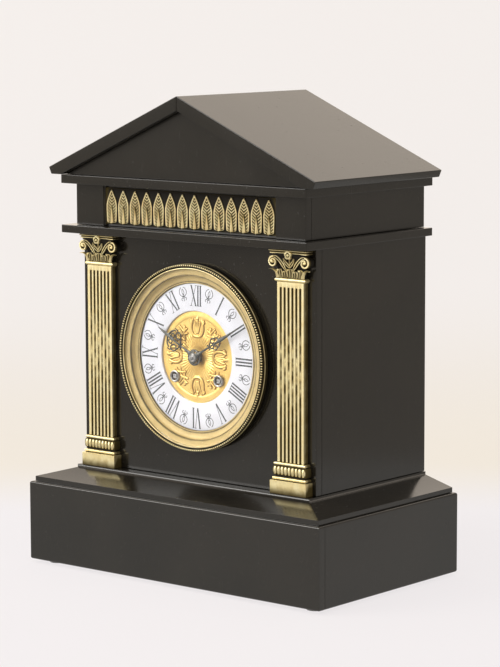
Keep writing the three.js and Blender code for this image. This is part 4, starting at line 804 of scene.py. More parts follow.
def palmette_strip():
    low, high = box_of("palmette_frieze")
    pitch = (high[0] - low[0] - 2 * STRIP_END) / LEAVES
    plate, tall = low[1] + PLATE_DEPTH, high[2] - low[2]
    heights = np.concatenate([[0.0, 0.3, 0.7], np.linspace(LEAF_FOOT - 0.02, LEAF_FOOT + LEAF_HEIGHT + 0.02, 140),
                              [tall - 0.6, tall - 0.3, tall]])[:, None]
    bead = 0.5 * held(1 - ((np.minimum(heights, tall - heights) - 0.3) / 0.3) ** 2)
    half = leaf_outline(heights)
    rim_share = np.linspace(0.80, 1.0, 5)
    share = np.concatenate([-rim_share[::-1], np.linspace(-0.76, 0.76, 31), rim_share])
    across = np.concatenate([-half - 0.12, share * half, half + 0.12], 1)
    lift, hollow = (np.tile(part, LEAVES) for part in leaf_relief(across, heights, half))
    x = np.concatenate([low[0] + STRIP_END + (leaf + 0.5) * pitch + across for leaf in range(LEAVES)], 1)
    rope = bead * (0.72 + 0.28 * np.sin(x * 2 * math.pi / ROPE_PITCH))
    # Along the rope the mesh is painted near-black between its beads, as painted shade.
    lift, hollow = np.maximum(lift, rope), np.minimum(hollow, DARK - 1.6 * rope)
    x, y, hollow = (np.pad(part, ((0, 0), (2, 2)), constant_values=ends) for part, ends in
                    ((x, ((0, 0), (low[0], high[0]))), (plate - lift, plate), (hollow, 1)))
    y[:, [0, -1]] = high[1]
    make_piece("palmette_strip", [shell(np.stack([x, y, low[2] + heights + 0 * x], -1), hollow)], strip_gilt,
               "palmette_frieze", sharp=70)


palmette_strip()

# %% [markdown]
# ## The bezel
# The bezel is a hinged brass ring: a string of small beads outside, a plain bright rim, the glass, and behind it a
# broad hollow ring in two steps, the sight, that leads the eye down to the dial. All are turned; the beads change
# the radius of a thin ring by the angle.

# %% Beads and rim
DIAL_CENTRE = (0.0, float(sum(box_of("chapter_ring")[i][2] for i in (0, 1)) / 2))
BEADS, BEAD_RADIUS, BEAD_CIRCLE, BEAD_COLUMNS, BEADS_FORWARD = 226, 0.86, 72.85, 8, 1.55
BEZEL_HINGE, BEZEL_KNUCKLE, BEZEL_KNUCKLE_REACH = (-73.0, -56.65), 1.7, 4.6


def beads(front):
    """Each bead is a ball: where its distance from the nearest bead's middle is s, its radius is sqrt(b*b - s*s)."""
    angle = around(BEADS * BEAD_COLUMNS)
    offset = (np.arange(len(angle)) % BEAD_COLUMNS - 3.5) / BEAD_COLUMNS * (2 * math.pi * BEAD_CIRCLE / BEADS)
    ball = np.sqrt(np.maximum(BEAD_RADIUS**2 - offset**2, 0.30**2))
    section = np.linspace(0, 2 * math.pi, 9)[:-1, None]
    radius = BEAD_CIRCLE + ball * np.cos(section)
    depth = front + BEAD_RADIUS - ball * np.sin(section)
    points = np.stack([radius * np.sin(angle), depth, DIAL_CENTRE[1] + radius * np.cos(angle)], -1)
    # Where the balls meet, the mesh is painted near-black as painted shade between the beads.
    return shell(points, DARK * held((0.72 - ball) / 0.2), ring=True)


def barrel(x, y, from_height, to_height, radius, soft=0.2, columns=20):
    """An upright rod between heights over the dial's centre, with softened ends: a hinge's knuckle or its pin."""
    turn = around(columns)
    low, high = DIAL_CENTRE[1] + from_height, DIAL_CENTRE[1] + to_height
    ends = ((radius - soft, low), (radius, low + soft), (radius, high - soft), (radius - soft, high))
    return shell([np.stack([x + r * np.cos(turn), y + r * np.sin(turn), z + 0 * turn], -1) for r, z in ends], 0.3)


def dial_ring(section, columns, recess=0.0):
    return turned(section, columns, DIAL_CENTRE, ring=True, recess=recess)


def bezel():
    front, rear, outer = disc_of("bezel_ring")
    rim = from_corner(outer, front, (-3.9, 0), (-3.8, -0.3), (-3.5, -0.55), (-3.15, -0.5), (-3.0, -0.3), (-2.9, 0.5),
                      (-2.1, 0.5), (-1.9, 0.1), (-0.4, 0.1), (-0.2, 0.2), (-0.7, 1.2), (-0.7, 2.1), (-0.3, 2.3),
                      (0, 2.6), (0, 3.1), (-0.3, 3.4), (-0.7, 3.7))
    rim += from_corner(outer, rear, (-0.4, -0.3), (-0.6, 0), (-2.9, 0), (-3.1, -0.2))
    rim += from_corner(outer, front, (-3.1, 0.5), (-3.5, 0.35))
    # The groove inside the beads is painted near-black as painted shade, and the outer side wall brown to near-black as
    # painted shade with the black case's reflection painted in.
    hollow = (0.3, 0.0, 0.0, 0.0, 1.4, 2.0, 2.0, 2.0, 2.0, 1.7, 1.7, 1.5, 0.6, 0.1, 0.1, 0.6, 1.5, 1.7, 1.7, 0.9, 0.9,
              0.7, 0.5)
    make_piece("beaded_bezel", [beads(front - BEADS_FORWARD), dial_ring(rim, 256, hollow), barrel(
        *BEZEL_HINGE, -BEZEL_KNUCKLE_REACH, BEZEL_KNUCKLE_REACH, BEZEL_KNUCKLE)], bezel_gilt, "bezel_ring")


bezel()


# %% Sight ring and glass
SIGHT_INNER = 58.25


def sight_ring():
    """Each of its two steps is a quarter of an ellipse, from a start radius and depth inwards to a flat edge."""
    front, rear, outer = disc_of("bezel_sight_ring")
    hollow = from_corner(SIGHT_INNER, rear, (0, 0), (0, -0.75), (0.25, -1.0), (0.7, -1.0), (0.95, -0.7))
    stain = [0.9, 0.5, 0.1, 0.1, 0.9]
    bend = np.linspace(0, math.pi / 2, 12)
    for start, width, low_y, high_y, steep in ((1.0, 5.2, -0.75, -2.7, 0.5), (6.5, 5.1, -4.7, -5.3, 0.1)):
        rise = np.column_stack([start + width * np.sin(bend), low_y + (high_y - low_y) * (1 - np.cos(bend))])
        hollow += from_corner(SIGHT_INNER, rear, *rise, (start + width + 0.3, high_y - steep))
        stain += [0.75, 0.45, 0.2] + [0.0] * 8 + [0.1, 0.6]
    hollow += from_corner(outer, front, (-0.4, 0), (0, 0.2), (0, 1.0), (-4.8, 1.4))
    hollow += from_corner(SIGHT_INNER, rear, (4.9, -0.4), (1.2, 0))
    stain += [0.2, 0.4, 0.9, 0.9, 0.9, 0.9]
    make_piece("stepped_sight_ring", [dial_ring(hollow, 192, stain)], sight_gilt, "bezel_sight_ring")


def bezel_pane():
    front, rear, outer = disc_of("bezel_glass")
    pane = [(0.05, front), (40.0, front), *from_corner(outer, front, (-0.55, 0), (-0.15, 0.35)),
            *from_corner(outer, rear, (-0.15, -0.05), (-0.45, 0)), (40.0, rear), (0.05, rear)]
    make_piece("clear_pane", [turned(pane, 128, DIAL_CENTRE)], glass, "bezel_glass")


sight_ring()
bezel_pane()

# %% [markdown]
# ## The chapter ring and its numerals
# The enamel is a turned ring with soft edges. Its hours are Roman, drawn as clockmakers draw them, with the foot of
# each numeral towards the middle, four strokes for four, thick strokes beside hairlines, and a short serif at each
# end. Each stroke is its own thin block of ink, laid out in the numeral's own frame and then turned to its hour.

# %% Enamel and strokes
DIAL_FACE = float(box_of("chapter_ring")[0][1])
RING_INNER, NUMERAL_FOOT, NUMERAL_TOP, INK = 36.4, 40.3, 56.4, 0.05
THICK, THIN, SERIF = 1.25, 0.42, 0.40
LETTER_WIDTH = {"I": 2.5, "V": 6.4, "X": 6.6}
HOURS = "XII I II III IIII V VI VII VIII IX X XI".split()


def chapter_ring():
    _, rear, outer = disc_of("chapter_ring")
    section = [(RING_INNER, rear), *from_corner(RING_INNER, DIAL_FACE, (0, 0.5), (0.15, 0.15), (0.6, 0)),
               (48.0, DIAL_FACE), *from_corner(outer, DIAL_FACE, (-0.6, 0), (-0.15, 0.15), (0, 0.5)), (outer, rear)]
    make_piece("enamel_ring", [dial_ring(section, 160)], enamel, "chapter_ring")


def on_dial(shells, hour):
    """Turns shells drawn upright at twelve to their hour, clockwise from the front."""
    angle = hour / 12 * 2 * math.pi
    turn = np.array([[math.cos(angle), 0, -math.sin(angle)], [0, 1, 0], [math.sin(angle), 0, math.cos(angle)]])
    return moved([(points @ turn, faces, recess) for points, faces, recess in shells], (0, 0, DIAL_CENTRE[1]))


def stroke(x0, z0, x1, z1, width, lift=0.0):
    """A straight bar of ink with level ends from one height to another."""
    x = np.array([x0, x0, x1, x1]) + width / 2 * np.array([-1, 1, 1, -1])
    return shell([np.column_stack([x, np.full(4, y), [z0, z0, z1, z1]])
                  for y in (DIAL_FACE + 0.01, DIAL_FACE - INK - lift)])


def letter(kind, x):
    """Strokes of one letter that starts at x: thick and thin as a broad pen leaves them, with serifs."""
    foot, top, wide = NUMERAL_FOOT, NUMERAL_TOP, LETTER_WIDTH[kind]
    left, right_edge, middle = x + 0.9, x + wide - 0.9, x + wide / 2
    if kind == "I":
        ends = [(middle, foot), (middle, top)]
        bars = [stroke(middle, foot, middle, top, THICK)]
    elif kind == "V":
        ends = [(left, top), (right_edge, top)]
        bars = [stroke(left, top, middle, foot, THICK), stroke(right_edge, top, middle + 0.2, foot, THIN, 0.004)]
    else:
        ends = [(left, top), (right_edge, top), (left, foot), (right_edge, foot)]
        bars = [stroke(left, top, right_edge, foot, THICK), stroke(right_edge, top, left, foot, THIN, 0.004)]
    return bars + [stroke(end, height, end, height + (SERIF if height == foot else -SERIF), THICK + 0.9, 0.008)
                   for end, height in ends]


def numeral(text):
    x, bars = -sum(LETTER_WIDTH[kind] for kind in text) / 2, []
    for kind in text:
        bars += letter(kind, x)
        x += LETTER_WIDTH[kind]
    return bars


FLOWER_FOOT, FLOWER_TOP = 44.8, 55.8


def half_hour_flower():
    """A small open flower on a stem: two round petals, a bud between them, a cross bar and two curls below."""
    def pen(line, width, lift=0.0):
        return ribbon(line, width, INK + lift, DIAL_FACE, SQUARE_SECTION)

    drawn = lambda *points, samples: curve(*from_corner(0, FLOWER_FOOT, *points), samples=samples)
    tall = FLOWER_TOP - FLOWER_FOOT
    parts = [pen(from_corner(0, FLOWER_FOOT, (0, 0), (0, 3.0), (0, 6.0)), 0.45),
             stroke(0, FLOWER_FOOT + 3.3, 0, FLOWER_FOOT + 3.8, 3.2)]
    for side in SIDES:
        parts += [pen(drawn((0, 4.6), (-1.9, 7.2), (0, tall - 1.2), samples=10) * (side, 1), 0.45),
                  pen(drawn((0, 3.9), (4.9, 4.2), (4.5, 9.6), (1.1, tall), samples=18) * (side, 1), 0.55, 0.004),
                  pen(drawn((0, 2.4), (2.4, 3.4), (3.4, 1.6), (1.5, 0.6), samples=12) * (side, 1), 0.5, 0.008)]
    return parts


chapter_ring()
hour_shells = [s for hour, text in enumerate(HOURS) for s in on_dial(numeral(text), hour)]
flower_shells = [s for hour in range(12) for s in on_dial(half_hour_flower(), hour + 0.5)]
make_piece("dial_ink", hour_shells + flower_shells, ink, body="case")

# %% [markdown]
# ## The embossed gilt centre
# The middle of the dial is stamped brass: rays round the arbor, a wreath of shells and leaf sprays, and a plain
# border. The relief is drawn once for a quarter: each ridge is a line, and the height falls off with the distance
# to the nearest point of it. The quarter is then repeated four times round a fine polar grid.

# %% Relief from the distance to lines
SHELLS_AT, SPRAY_AT, QUARTERS = (0.0, math.pi / 2), math.pi / 4, 4
CENTRE_RADIUS, WREATH_IN, WREATH_OUT = 35.95, 14.6, 30.4


def wreath_lines():
    """(line, width, height) of every ridge in one quarter, with the halves of the motifs that reach past it."""
    lines = []

    def ridge(at, line, width, height):
        """Adds a line drawn upright as (across, out) points, turned to its place on the quarter."""
        turn = [[math.cos(at), -math.sin(at)], [math.sin(at), math.cos(at)]]
        lines.append((np.asarray(line, float) @ turn, width, height))

    for at in SHELLS_AT:
        for side in SIDES:
            ridge(at, curve((4.6, 29.0), (7.4, 24.4), (6.4, 15.6), (0.0, 16.2), samples=34) * (side, 1), 1.15, 1.0)
            ridge(at, spiral((6.2, 27.4), 1.5, 0.3, 1.1, samples=24) * (side, 1), 0.75, 0.9)
            for fan in (0.5, 1.5):
                rib = curve((fan * 0.6, 19.4), (fan * 1.3, 23.0), (fan * 2.0, 27.6), samples=14)
                ridge(at, rib * (side, 1), 0.85, 0.66)
        ridge(at, [(0, 28.0), (0, 30.0)], 1.4, 0.9)
    for side in SIDES:
        stem = curve((0.2, 17.8), (1.2, 21.0), (4.4, 22.4), (6.0, 26.0), samples=26)
        ridge(SPRAY_AT, stem * (side, 1), 0.8, 0.85)
        for foot, tip, bow in (((0.8, 20.4), (5.4, 20.0), 1.6), ((2.2, 22.0), (7.6, 22.8), 1.4),
                               ((1.4, 22.6), (1.8, 28.4), 1.2), ((3.6, 23.6), (3.6, 29.0), -0.8)):
            middle = ((foot[0] + tip[0]) / 2, (foot[1] + tip[1]) / 2 + bow)
            ridge(SPRAY_AT, curve(foot, middle, tip, samples=14) * (side, 1), 0.9, 0.8)
        ridge(SPRAY_AT, spiral((6.1, 25.2), 1.5, 0.3, 1.2, samples=22) * (side, 1), 0.65, 0.8)
    ridge(SPRAY_AT, [(0, 23.6), (0, 26.0)], 1.6, 0.9)
    return lines


def centre_relief(angles, radii):
    """Height in millimetres over the ground and how hollow each point is, for one quarter of the disc."""
    ramp = lambda values, start, length: held((values - start) / length)
    spots = np.stack([radii * np.sin(angles), radii * np.cos(angles)], -1)
    height, gap = np.zeros(spots.shape[:2]), np.full(spots.shape[:2], 9.0)
    for line, width, tall in wreath_lines():
        distance = np.sqrt(((spots[:, :, None, :] - line) ** 2).sum(-1)).min(-1)
        height = np.maximum(height, tall * dome(distance / width))
        gap = np.minimum(gap, distance - width)
    rays = 0.34 * (0.5 + 0.5 * np.cos(angles * 48)) * ramp(radii, 6.0, 2.0) * ramp(-radii, -19.5, 3.0)
    inside = ramp(radii, WREATH_IN, 1.2) * ramp(-radii, -WREATH_OUT - 0.4, 0.4)
    border = ramp(radii, WREATH_OUT + 0.4, 0.8) * 0.25 - ramp(radii, WREATH_OUT + 1.4, 4.5) * 0.18
    outline = held(1.3 - np.abs(gap - 0.05) / 0.42) * inside
    return np.maximum(height, rays) + border, 1.15 * outline


# %% [markdown]
# The two winding holes are bored through the finished relief. A Boolean modifier cuts them with two rods and is
# applied at once, so the kept mesh is plain.

# %% The centre and its bored holes
WINDING_HOLES, HOLE_RADIUS, QUARTER_COLUMNS, CENTRE_GROUND = [(-22.5, -17.0), (22.5, -17.0)], 3.15, 168, 1.05


def drills(spots, radius, low_y, high_y):
    """Rods along Y at (x, z) spots from the dial's centre."""
    return [turned([(radius, low_y), (radius, high_y)], 48, (x, DIAL_CENTRE[1] + z)) for x, z in spots]


def cut_away(piece, solids):
    """Takes closed shells out of a finished piece, with an exact Boolean that is applied at once."""
    points, faces, _ = merged(solids)
    drill = mesh_object("drill", points * MILLIMETRE, faces)
    cut = piece.modifiers.new("cut", "BOOLEAN")
    cut.operation, cut.solver, cut.object = "DIFFERENCE", "EXACT", drill
    bpy.context.view_layer.update()
    bored = bpy.data.meshes.new_from_object(piece.evaluated_get(bpy.context.evaluated_depsgraph_get()))
    piece.modifiers.clear()
    piece.data = bored
    bpy.data.objects.remove(drill)
    print(piece.name, "cut,", len(bored.polygons), "faces")


def dial_centre():
    face, rear, _ = disc_of("dial_centre")
    radii = np.concatenate([[5.0, 5.4, 6.0], np.linspace(6.6, 16.0, 20), np.linspace(16.4, WREATH_OUT, 66),
                            [30.8, 31.3, 31.9, 33.0, 34.2, 35.2, 35.7, CENTRE_RADIUS]])[:, None]
    angle = np.arange(QUARTERS * QUARTER_COLUMNS) / QUARTER_COLUMNS * math.pi / 2
    height, hollow = (np.tile(part, QUARTERS) for part in centre_relief(angle[:QUARTER_COLUMNS], radii))
    front = np.stack([radii * np.sin(angle), face + CENTRE_GROUND - height, DIAL_CENTRE[1] + radii * np.cos(angle)], -1)
    points = np.concatenate([front, front[[-1, 0]] * [1, 0, 1] + [0, rear, 0]])
    hollow = np.concatenate([hollow, np.ones_like(hollow[:2])])
    piece = make_piece("embossed_centre", [shell(points, hollow, ring=True)], centre_gilt, "dial_centre", sharp=80)
    cut_away(piece, drills(WINDING_HOLES, HOLE_RADIUS, DIAL_FACE - 6.0, DIAL_FACE + 6.0))


dial_centre()

# %% [markdown]
# ## Winding squares
# Each hole has a steel collar, and the square end of the arbor stands in it. The arbors keep their CAD shape; the
# collar is a small turned ring.

# %% Collars
for name, (x, z) in zip(("strike_hole_collar", "time_hole_collar"), WINDING_HOLES):
    section = from_corner(0, DIAL_FACE, (3.0, 1.4), (3.0, -0.1), (3.3, -0.6), (4.0, -0.8), (4.6, -0.5), (4.85, 0.1),
                          (4.8, 0.7), (3.1, 1.4))
    make_piece(name, [turned(section, 64, (x, DIAL_CENTRE[1] + z), ring=True)], arbor_steel, body="case")

# %% [markdown]
# ## The hands
# Both hands are sawn from thin steel and filed to a soft ridge. They are drawn upright at twelve as ribbons that
# swell and taper, and their pierced ornament is loops of the same ribbon, then they are turned to ten past ten.

# %% Two pierced hands
HOUR_ANGLE, MINUTE_ANGLE, HAND_SEAT = 299.5, 60.0, 0.25


def hand(node, parts, angle, hub_radius, hub_hole):
    """Parts are (line, width, share of the full depth)."""
    front, rear, _ = disc_of(node)
    face = rear - HAND_SEAT
    shells = [ribbon(line, width, (face - front) * share, face, RIDGED_SECTION) for line, width, share in parts]
    hub = [(hub_hole, rear), (hub_hole, front), (hub_hole + 0.2, front)]
    hub += from_corner(hub_radius, front, (-0.6, 0), (-0.4, 0), (-0.1, 0.15), (0, 0.45)) + [(hub_radius, rear)]
    make_piece("steel_" + node, on_dial(shells + [turned(hub, ring=True)], angle / 30), hand_steel, node, sharp=50)


def loop(x, z, wide, tall, tilt=0.0, samples=28):
    """A closed oval line, drawn once round and a little past its start so that the ribbon closes on itself."""
    angle = np.linspace(0, 2 * math.pi * (1 + 1 / samples), samples + 1)
    u, v = wide / 2 * np.cos(angle), tall / 2 * np.sin(angle)
    return np.column_stack([x + u * math.cos(tilt) + v * math.sin(tilt), z + v * math.cos(tilt) - u * math.sin(tilt)])


def straight(z0, z1):
    return curve((0, z0), (0, z1))


def hour_hand():
    parts = [(straight(4.0, 15.5), (4.4, 2.8, 2.0, 1.7), 1.0),
             (straight(14.5, 42.4), (1.7, 1.5, 1.9, 3.3, 2.0, 0.5), 1.0),
             ([(-2.9, 15.4), (0.0, 16.2), (2.9, 15.4)], 1.3, 0.94)]
    for side in SIDES:
        flip = (side, 1)
        parts += [(curve((0, 17.2), (3.0, 17.2), (4.2, 18.2), (5.2, 19.2)) * flip, (1.4, 1.1), 0.94),
                  (loop(side * 5.4, 21.8, 5.2, 5.6, side * 0.4), 1.25, 0.9),
                  (curve((0, 32.8), (1.6, 29.2), (6.2, 31.6), (7.6, 25.6)) * flip, (1.9, 1.1), 0.92),
                  (loop(side * 2.7, 27.0, 3.2, 3.6), 1.05, 0.9),
                  (curve((7.8, 23.4), (9.4, 25.0), (8.9, 27.6), samples=10) * flip, (1.3, 0.5), 0.9)]
    hand("hour_hand", parts, HOUR_ANGLE, 6.5, 4.5)


def minute_hand():
    parts = [(straight(2.8, 18.5), (5.0, 2.4, 1.7, 1.4), 1.0),
             (straight(17.5, 56.0), (1.4, 1.4, 3.3, 2.0, 1.2, 0.5), 1.0),
             ([(-2.4, 18.6), (0.0, 19.2), (2.4, 18.6)], 1.2, 0.94)]
    for side in SIDES:
        inner = curve((0, 20.4), (1.6, 20.6), (2.6, 21.8), (3.0, 22.8), samples=16) * (side, 1)
        outer = curve((0, 33.0), (0.9, 30.0), (3.8, 31.4), (3.9, 27.6), samples=16) * (side, 1)
        parts += [(inner, (1.3, 1.0), 0.94), (loop(side * 2.9, 25.0, 3.6, 4.4, side * 0.4), 1.1, 0.9),
                  (outer, (1.6, 0.9), 0.92)]
    hand("minute_hand", parts, MINUTE_ANGLE, 4.4, 2.9)


def arbor_cap():
    """The steel washer and the end of the arbor that hold the minute hand."""
    cap = from_corner(0, box_of("minute_hand")[0][1], (0.1, -1.1), (0.8, -1.1), (1.1, -1.0), (1.25, -0.8), (1.3, -0.25),
                      (1.5, -0.15), (2.3, -0.15), (2.5, -0.35), (3.0, -0.4), (3.25, -0.25), (3.35, 0), (3.35, 0.2),
                      (0.1, 0.2))
    stain = (0.0, 0.0, 0.0, 0.2, 1.0, 1.2, 1.2, 0.8, 0.0, 0.0, 0.4, 0.4, 0.4)
    make_piece("steel_arbor_cap", [turned(cap, 40, DIAL_CENTRE, recess=stain)], arbor_steel,
               body=body_of["minute_hand"])


hour_hand()
minute_hand()
arbor_cap()

# %% [markdown]
# ## The bell
# The bell behind the movement shows when the rear door is open. It is a cup of bell metal, spun thin, with a
# thicker lip at its mouth and two turned lines. It is a profile turned about the clock's axis.

# %% The bell
BELL_WALL, BELL_HOLE, TURNED_LINES = 1.5, 1.6, [9, 12]


def bell_cup():
    """Outside: a quarter ellipse from the mouth to the crown. Inside: the same, one wall smaller, walked back."""
    mouth, crown, radius = disc_of("bell")
    rise = np.linspace(0, math.pi / 2, 40)
    outside, inside = (np.column_stack([np.maximum((radius - inset) * np.cos(rise), BELL_HOLE),
                                        mouth + (crown - mouth - shrink) * np.sin(rise)])
                       for inset, shrink in ((0.5, 0.0), (BELL_WALL, BELL_WALL)))
    outside[:4, 0] += (0.3, 0.5, 0.5, 0.25)
    outside[TURNED_LINES, 0] -= 0.18
    dull = np.concatenate([[0.2, 0.0, 0.0, 0.3], np.zeros(36), np.full(40, 0.4)])
    dull[TURNED_LINES] = 0.7
    make_piece("striking_bell", [dial_ring(np.concatenate([outside, inside[::-1]]), 96, dull)], bell_bronze, "bell")


bell_cup()

# %% [markdown]
# ## The rear ring and its door
# A brass ring lines the opening in the back, and a round door with sound holes hangs on it. Both are turned, so they
# are profiles here too, with soft edges. The hinge is a knuckle on the door between two on the ring, with a pin, and
# the ring is cut away round the door's knuckle.

# %% The rear ring
HINGE, KNUCKLE, PIN, PIN_REACH, LEAF_REACH = (68.2, 87.6), 0.98, 0.45, 9.9, 4.9
RING_KNUCKLES, NOTCH_REACH, NOTCH_GAP = ((5.2, 9.8), (-9.8, -5.2)), 5.15, 0.17


def rear_ring():
    front, _, outer = disc_of("rear_bezel_ring")
    section = from_corner(0, front, (58.7, 0.2), (58.9, 0), (65.5, 0), (65.7, 0.2), (65.7, 8.1))
    section += from_corner(outer, front, (-0.3, 8.1), (0, 8.3), (0, 8.7), (-0.4, 9.0), (-2.4, 9.0), (-2.6, 8.9),
                           (-3.0, 8.9), (-3.2, 9.0))
    section += from_corner(0, front, (60.9, 9.0), (60.7, 8.8), (60.7, 1.2), (60.5, 1.0), (58.9, 1.0), (58.7, 0.8))
    piece = make_piece("rear_ring", [dial_ring(section, 160)], door_brass, "rear_bezel_ring")
    cut_away(piece, [barrel(*HINGE, -NOTCH_REACH, NOTCH_REACH, KNUCKLE + NOTCH_GAP, soft=0.05)])
    hinge = [barrel(*HINGE, *ends, KNUCKLE) for ends in RING_KNUCKLES]
    hinge.append(barrel(*HINGE, -PIN_REACH, PIN_REACH, PIN, soft=0.1))
    make_piece("rear_ring_hinge", hinge, door_brass, body=body_of["rear_bezel_ring"])


rear_ring()

# %% The rear door
DOOR_INSIDE, DOOR_BACK, SOUND_HOLES, SOUND_CIRCLE, SOUND_HOLE_RADIUS = 87.5, 88.35, 8, 33.0, 3.0
TAB_REACH, TAB_OVERLAP, LEAF_OVERLAP = 2.4, 3.6, 4.5


def small_block(low, high, soft=0.15):
    """A block with all its edges chamfered: an eight-sided section, drawn in at both ends."""
    rows = []
    for z, inset in ((low[2], soft), (low[2] + soft, 0), (high[2] - soft, 0), (high[2], soft)):
        x0, y0, x1, y1 = low[0] + inset, low[1] + inset, high[0] - inset, high[1] - inset
        rows.append([(x0 + soft, y0, z), (x1 - soft, y0, z), (x1, y0 + soft, z), (x1, y1 - soft, z),
                     (x1 - soft, y1, z), (x0 + soft, y1, z), (x0, y1 - soft, z), (x0, y0 + soft, z)])
    return shell(rows)


def rear_door():
    low, high = box_of("rear_door")
    outer, middle = (high[2] - low[2]) / 2, DIAL_CENTRE[1]
    section = from_corner(0, DOOR_BACK, (0.1, 0), (20.0, 0), (43.6, 0), (44.0, -0.12), (44.8, -0.12), (45.2, 0),
                          (61.6, 0), (62.0, -0.15), (62.5, -0.15), (63.0, 0.1), (63.6, 0.25), (64.8, 0.25), (65.5, 0.1))
    section += from_corner(outer, DOOR_BACK, (-0.1, -0.2), (0, -0.4))
    section += from_corner(outer, DOOR_INSIDE, (-0.1, 0.1), (-0.4, 0)) + [(20.0, DOOR_INSIDE), (0.1, DOOR_INSIDE)]
    piece = make_piece("rear_door_plate", [turned(section, 160, DIAL_CENTRE)], door_brass, "rear_door")
    turn = around(SOUND_HOLES)
    spots = SOUND_CIRCLE * np.column_stack([np.sin(turn), np.cos(turn)])
    cut_away(piece, drills(spots, SOUND_HOLE_RADIUS, DOOR_INSIDE - 2.0, DOOR_BACK + 2.0))
    leaf = small_block((outer - LEAF_OVERLAP, DOOR_INSIDE + 0.05, middle - LEAF_REACH),
                       (HINGE[0] - 0.4, DOOR_BACK + 0.1, middle + LEAF_REACH))
    knuckle = barrel(*HINGE, -LEAF_REACH, LEAF_REACH, KNUCKLE)
    tab = small_block((low[0], DOOR_INSIDE + 0.05, middle - TAB_REACH),
                      (TAB_OVERLAP - outer, DOOR_BACK + 0.2, middle + TAB_REACH), 0.3)
    make_piece("rear_door_hinge_and_tab", [leaf, knuckle, tab], door_brass, body=body_of["rear_door"])


rear_door()

# %% [markdown]
# ## The movement, the straps and the feet
# What is left keeps its CAD shape, because it is turned or sawn from plate and its form is already right. Each node
# gets the finish of its own metal or stone.

# %% Finishes for the nodes that stay
STAYING = {
    arbor_steel: "pallet_anchor time_winding_arbor strike_winding_arbor case_strap_left case_strap_right strike_hammer "
                 "bell_stand suspension_cock",
    plate_brass: "movement_front_plate movement_back_plate dial_pan",
    wheel_brass: "time_barrel strike_barrel intermediate_wheel centre_wheel third_wheel escape_wheel cannon_pinion "
                 "minute_wheel hour_wheel strike_pin_wheel pendulum",
    slate: "foot_front_left foot_front_right foot_rear_left foot_rear_right",
    core: "base_core_block",
}
for finish, names in STAYING.items():
    for name in names.split():
        nodes[name].data.materials.clear()
        nodes[name].data.materials.append(finish.material)
finished = " ".join(STAYING.values()).split()
bare = [name for name, node in nodes.items() if not node.hide_render and name not in finished]
print("nodes that still show without a finish:", bare)

# %% [markdown]
# ## The set
# The photograph shows a white cloth that meets a pale wall just behind the clock, and nothing of the room. The room
# is seen all the same, in the polished stone: dim and warm in front and to the right, bright where the stone
# mirrors the wall. So the set is one sheet, square to the view and not much wider than the picture, that bends from
# cloth to wall. It is clear from behind. Beyond its edges the mirror sees the dim light of the room, and the camera
# a plain pale floor.

# %% Cloth and wall
SHEET_HALF_WIDTH, SHEET_FRONT, WALL_BEHIND, BEND, WALL_HEIGHT = 0.62, -0.60, 0.34, 0.11, 1.7
CLOTH_SEEN, CORNER_SHADE_SEEN, WALL_SEEN = (0.925, 0.905, 0.965), (0.90, 0.825, 0.72), (0.945, 0.90, 0.875)
CLOTH_MIRRORED, WALL_MIRRORED = (0.62, 0.60, 0.57), (1.42, 1.25, 1.07)
SHEET_GLOW = 0.86


def sheet_finish():
    """Matt and pale to lamps. The camera and the stone's mirror see its colour by the height of the point."""
    pale = Finish("cloth_and_wall", Roughness=0.9)
    height = pale.node("SeparateXYZ", {}, pale.place(), output="Z")
    at_wall, at_corner = height.kept(0.02, 0.20), height.kept(-0.02, 0.035)
    pale.feed(Base_Color=pale.mix(pale.noise(3.0).kept(0.3, 0.7), (0.80, 0.78, 0.77), (0.77, 0.75, 0.74)))
    # Where the cloth bends up into the wall the camera sees a warmer, darker band: painted shade in the corner.
    seen = pale.mix(at_wall, pale.mix(at_corner, CLOTH_SEEN, CORNER_SHADE_SEEN), WALL_SEEN)
    glossy = pale.ray("Glossy")
    glow = pale.node("Emission", {}, pale.mix(glossy, seen, pale.mix(at_wall, CLOTH_MIRRORED, WALL_MIRRORED)))
    lit = pale.either((pale.ray("Camera") + pale.ray("Transmission")) * SHEET_GLOW + glossy, pale.shader, glow)
    pale.either(pale.node("NewGeometry", {}, output="Backfacing"), lit, pale.node("BsdfTransparent", {}))
    return pale


def stage_object(points, faces, finish):
    """A thing of the set, named as its finish is. Its points are in metres."""
    made = mesh_object(finish.material.name, points, faces)
    made.data.materials.append(finish.material)
    return made


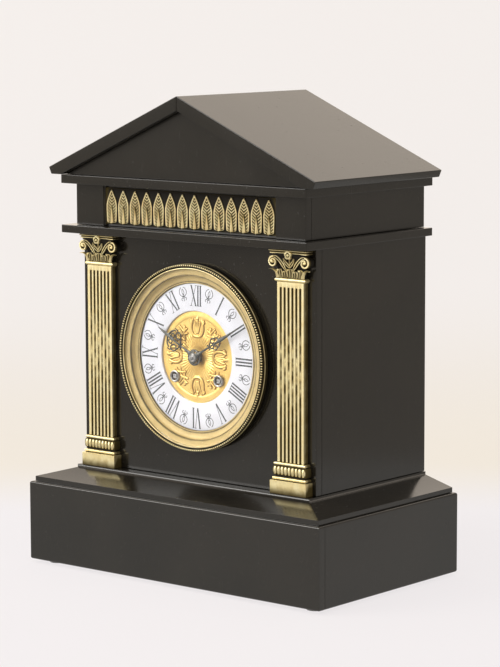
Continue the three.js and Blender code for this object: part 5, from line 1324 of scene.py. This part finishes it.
def set_sheet():
    """A profile of (distance along the view, height) points, run from side to side square to the view."""
    turn = np.linspace(0.0, math.pi / 2, 17)
    along = np.concatenate([[SHEET_FRONT], WALL_BEHIND - BEND + BEND * np.sin(turn), [WALL_BEHIND]])
    height = np.concatenate([[0.0], BEND - BEND * np.cos(turn), [WALL_HEIGHT]])
    ahead = forward[:2] / math.hypot(*forward[:2])
    aside = np.array([ahead[1], -ahead[0]]) * SHEET_HALF_WIDTH
    rows = [np.column_stack([along[:, None] * ahead + side * aside, height]) for side in SIDES]
    count = len(along)
    faces = [[i, count + i, count + i + 1, i + 1] for i in range(count - 1)]
    stage_object(np.concatenate(rows), faces, sheet_finish()).data.shade_smooth()
    print("wall", WALL_BEHIND, "m behind the clock's middle")


set_sheet()

# %% The floor beyond
FLOOR_BEYOND, FLOOR_RADIUS, FLOOR_SIDES = (0.897, 0.867, 0.861), 6.0, 96


def set_floor_beyond():
    """A wide disc just under the sheet, seen by the camera only, so that it changes nothing on the clock."""
    angle = around(FLOOR_SIDES)
    rim = np.column_stack([FLOOR_RADIUS * np.cos(angle), FLOOR_RADIUS * np.sin(angle), np.full(FLOOR_SIDES, -0.001)])
    pale = Finish("floor_beyond", Roughness=0.9)
    pale.put(pale.surface, pale.node("Emission", {}, FLOOR_BEYOND))
    floor = stage_object(rim, [list(range(FLOOR_SIDES))], pale)
    floor.visible_glossy = floor.visible_diffuse = floor.visible_shadow = False


set_floor_beyond()


# %% Lamps and the dim room
LAMPS_LOOK_AT, ROOM_COLOUR, ROOM_STRENGTH = (0.0, 0.0, 0.2), (0.90, 0.82, 0.72), 0.5


def soft_lamp(name, place, size, watts, colour):
    """A square lamp that looks at the clock."""
    lamp = linked(name, bpy.data.lights.new(name, "AREA"))
    lamp.data.size, lamp.data.energy, lamp.data.color = size, watts, colour
    lamp.location = place
    lamp.rotation_euler = (Vector(LAMPS_LOOK_AT) - Vector(place)).to_track_quat("-Z", "Y").to_euler()


soft_lamp("window", (-1.7, -2.3, 1.5), 1.9, 66.0, (1.0, 0.985, 0.95))
soft_lamp("ceiling", (0.1, -0.7, 2.6), 2.2, 26.0, (1.0, 0.98, 0.95))
soft_lamp("room", (2.4, -0.9, 1.1), 1.2, 9.0, (1.0, 0.90, 0.78))
world = bpy.data.worlds.new("room_light")
bpy.context.scene.world = world
room = Tree(world, "World Output")
dim = Value(room, room.nodes["Background"].outputs[0])
room.put(dim.socket.node.inputs["Color"], ROOM_COLOUR)
room.put(dim.socket.node.inputs["Strength"], ROOM_STRENGTH)
room.either(room.ray("Camera"), dim, room.node("Background", {}, FLOOR_BEYOND))
bpy.context.scene.view_settings.view_transform = "Standard"
